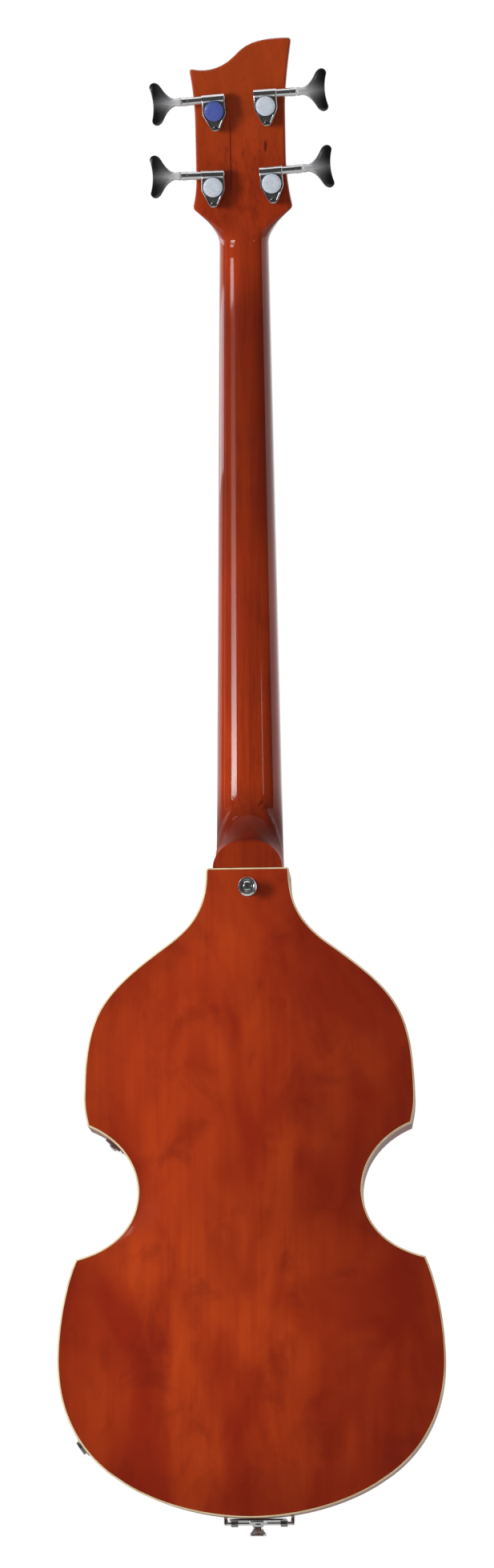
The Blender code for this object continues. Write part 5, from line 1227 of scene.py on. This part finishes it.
def make_controls():
    """Stepped knobs with ribbed skirts, ridged switch sliders and the panel's screws."""
    base = 0.0036
    for label, x in (("neck", 0.0440), ("bridge", -0.0440)):
        knob = turned([(0.0027, base - 0.0076), (0.0027, base), (0.0093, base), (0.0095, base + 0.0003),
                       (0.0095, base + 0.0030), (0.0090, base + 0.0036), (0.0078, base + 0.0042),
                       (0.0068, base + 0.0048), (0.0065, base + 0.0056), (0.0063, base + 0.0098),
                       (0.0058, base + 0.0105), (0.0050, base + 0.0109), (0.0012, base + 0.0110)], 60)
        raise_faces(knob, -0.0004, lambda middle, way: base + 0.0057 < middle.z < base + 0.0097
                    and rib_number(middle, 30, 30.25) % 3 == 0)
        raise_faces(knob, -0.0003, lambda middle, way: base + 0.0004 < middle.z < base + 0.0029
                    and middle.x > 0.0085 and abs(middle.y) < 0.0006)
        body = f"volume_knob_{label}"
        finished(stand(knob, PANEL_MATRIX @ at(x, 0, 0)), f"stepped_knob_{label}", pearl, body, body, smooth=28)
    for index, label in enumerate(("treble", "bass", "solo")):
        x = 0.0160 * (1 - index) - 0.0020
        slider = soften(slab((x - 0.0020, -0.0016, -0.0020), (x + 0.0020, 0.0016, 0.0053)), 0.0003, 2)
        for step in (-1, 0, 1):
            ridge = x + step * 0.0011
            cut(slider, slab((ridge - 0.00025, -0.002, 0.0050), (ridge + 0.00025, 0.002, 0.006)))
        body = f"switch_slider_{label}"
        finished(stand(slider, PANEL_MATRIX), f"ridged_slider_{label}", black_plastic, body, body)
    corners = [PANEL_MATRIX @ at(x, y, 0.0016) for x in (-0.0555, 0.0555) for y in (-0.0135, 0.0135)]
    finished(screws(corners, 0.0016, 0.0008), "panel_screws", steel)


def make_pickguard():
    """Floating guard with a rounded edge, on its spacer with a screw."""
    under = TOP_EDGE - 0.0165
    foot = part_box("pickguard")[1].y
    inner, top_end, low_end, corner = 0.0480, 0.242 * BODY_LENGTH, 0.643 * BODY_LENGTH, 0.0060
    waist, lobe = (0.0700, 0.566 * BODY_LENGTH), (0.0900, 0.371 * BODY_LENGTH)
    start, end = (inner + corner, low_end + corner), (inner + corner, top_end - corner)
    outline = [(inner, top_end), (inner, low_end), *bent(start, waist, (0.9, 0.0), (0.86, 0.44), 15),
               *bent(waist, lobe, (0.05, 0.40), (0.98, 0.66), 18),
               *bent(lobe, end, (0.0, 0.52), (0.60, 1.0), 21), end]
    levels = ((0.0, under), (0.0, under - 0.0016), (0.0002, under - 0.0020), (0.0006, under - 0.0022))
    vertices, faces = bridged([level(inset(outline, depth), y) for depth, y in levels])
    mesh_piece("rounded_pickguard", "pickguard", vertices, faces, pearl, 50)
    x, z = 0.0560, JOINT_Z - 0.2525 * BODY_LENGTH
    spacer = turned([(0.0035, under - 0.0002), (0.0035, under + 0.0004), (0.0030, under + 0.0012),
                     (0.0030, foot - 0.0010), (0.0034, foot - 0.0001)], 32)
    finished(stand(spacer, at(x, 0, z) @ TO_BACK), "guard_spacer", pearl)
    finished(stand(screw_head(0.0026, 0.0010), at(x, under - 0.0024, z) @ TO_FRONT), "guard_screw", chrome)


make_body()
make_neck()
make_fretboard()
make_nut()
for pickup in ("neck", "bridge"):
    make_pickup(pickup, arch_tool())
make_bridge(arch_tool())
make_controls()
make_pickguard()
make_tuners()
heel_button_rise = BACK_ARCH * arch_share((HEEL_BUTTON_BELOW + 0.0066) / SPINE[0])
make_strap_button("heel_strap_button",
                  at(0, BACK_EDGE + heel_button_rise + GAP, JOINT_Z - HEEL_BUTTON_BELOW) @ TO_BACK, 0.8)
make_tail()
make_jack()


# Stage, lights and camera

FLOOR_Z = -2.6
CARD_REACH, CARD_LOW, CARD_HIGH = 2.8, -2.5, 2.7
DARK_CARDS = (      # azimuth in degrees, distance, width, low and high edge
    *((azimuth, CARD_REACH, 1.93, CARD_LOW, CARD_HIGH) for azimuth in (19, -19, -57, 57)),
    (92, CARD_REACH, 1.20, CARD_LOW, CARD_HIGH), (35, 1.0, 0.80, -1.3, -0.42),
)
LAMPS = (           # azimuth in degrees, distance, width, low and high edge, strength, and height of the fade
    (33, 2.5, 0.80, -0.24, 0.45, 16.0, 0.14), (-29, 2.5, 0.12, -0.30, -0.10, 2.0),
    (112, 0.6, 0.50, -0.06, 0.10, 3.0), (37, 0.6, 0.16, 0.05, 0.11, 6.0),
)
AMBIENT = 0.45
WHITE, BLACK = (1.0, 1.0, 1.0), (0.0, 0.0, 0.0)


def plane(name, finish, size, **placing):
    """A plane of the stage."""
    bpy.ops.object.select_all(action="DESELECT")
    bpy.ops.mesh.primitive_plane_add(size=size, **placing)
    made = bpy.context.active_object
    made.name = name
    made.data.materials.append(finish.material)
    return made


def upright_panel(name, azimuth, reach, width, low, high, finish):
    """A plane that faces the part from one side, and shows in the shine of things and nowhere else."""
    turn = math.radians(azimuth)
    panel = plane(name, finish, 1.0, rotation=(math.pi / 2, 0, -turn),
                  location=(reach * math.sin(turn), reach * math.cos(turn), (low + high) / 2))
    panel.scale = (width, high - low, 1)
    settle(panel)
    for ray in ("camera", "diffuse", "shadow", "transmission"):
        setattr(panel, f"visible_{ray}", False)


def lamp_panel(azimuth, reach, width, low, high, strength, fade=9.0):
    """A softbox seen only in the shine of lacquer and chrome; over the height fade it falls to a third."""
    glow = Finish(f"glow_{azimuth + 90}", Emission_Strength=strength, Roughness=0.9)
    height = (glow.axis("Z") - low) * (-1 / fade)
    glow.feed(Emission_Color=glow.blend(height.math("EXPONENT", height), BLACK, WHITE))
    upright_panel(f"lamp_panel_{azimuth + 90}", azimuth, reach, width, low, high, glow)


def make_stage():
    """Paper far below, a white world, and the dark side of the studio that the lacquer and chrome show."""
    paper = Finish("paper", Roughness=0.9)
    paper.feed(Base_Color=paper.blend(paper.noise(3, 3, 3), (0.82, 0.82, 0.82), (0.80, 0.80, 0.80)))
    plane("floor", paper, 16.0, location=(0, 0, FLOOR_Z))
    cloth = Finish("dark_cloth", Roughness=0.95, Specular_IOR_Level=0.0)
    cloth.feed(Base_Color=cloth.blend(cloth.noise(2, 2, 2), (0.030, 0.030, 0.032), (0.022, 0.022, 0.024)))
    for azimuth, reach, width, low, high in DARK_CARDS:
        upright_panel(f"dark_card_{azimuth + 90}", azimuth, reach, width, low, high, cloth)
    world = bpy.data.worlds.new("studio")
    bpy.context.scene.world = world
    world.use_nodes = True
    tree = world.node_tree
    back = tree.nodes["Background"]
    path = tree.nodes.new("ShaderNodeLightPath")
    shown = path.outputs["Is Camera Ray"]
    for ray in ("Is Glossy Ray", "Is Transmission Ray"):
        either = tree.nodes.new("ShaderNodeMath")
        either.operation = "MAXIMUM"
        tree.links.new(shown, either.inputs[0])
        tree.links.new(path.outputs[ray], either.inputs[1])
        shown = either.outputs[0]
    strength = tree.nodes.new("ShaderNodeMapRange")
    tree.links.new(shown, strength.inputs[0])
    strength.inputs[3].default_value = AMBIENT
    strength.inputs[4].default_value = 1.0
    back.inputs[0].default_value = (*WHITE, 1.0)
    tree.links.new(strength.outputs[0], back.inputs[1])


def make_key_light():
    """A softbox from high on one side, which leaves the shine to the panels."""
    lamp = bpy.data.lights.new("key", "AREA")
    lamp.shape = "RECTANGLE"
    lamp.size = 0.45
    lamp.size_y = 0.9
    lamp.energy = 46
    holder = placed("key", lamp)
    holder.location = (1.80, 1.30, -0.15)
    aim = Vector((0, 0, -0.50)) - holder.location
    holder.rotation_euler = aim.to_track_quat("-Z", "Y").to_euler()
    holder.visible_glossy = False


def make_camera():
    """The photographer's place, low behind the part, with the camera held nearly level."""
    camera = bpy.data.cameras.new("camera")
    camera.lens = 126.5
    camera.sensor_width = 36.0
    camera.shift_y = -0.078
    holder = placed("camera", camera)
    holder.location = (-0.1504, 3.965, -1.010)
    aim = (Vector((-0.0009, 0.031, -0.316)) - holder.location).to_track_quat("-Z", "Y").to_matrix()
    holder.rotation_euler = (aim @ Matrix.Rotation(math.radians(-0.45), 3, "Z")).to_euler()
    bpy.context.scene.camera = holder


make_stage()
for lamp in LAMPS:
    lamp_panel(*lamp)
make_key_light()
make_camera()
bpy.context.scene.view_settings.view_transform = "Standard"
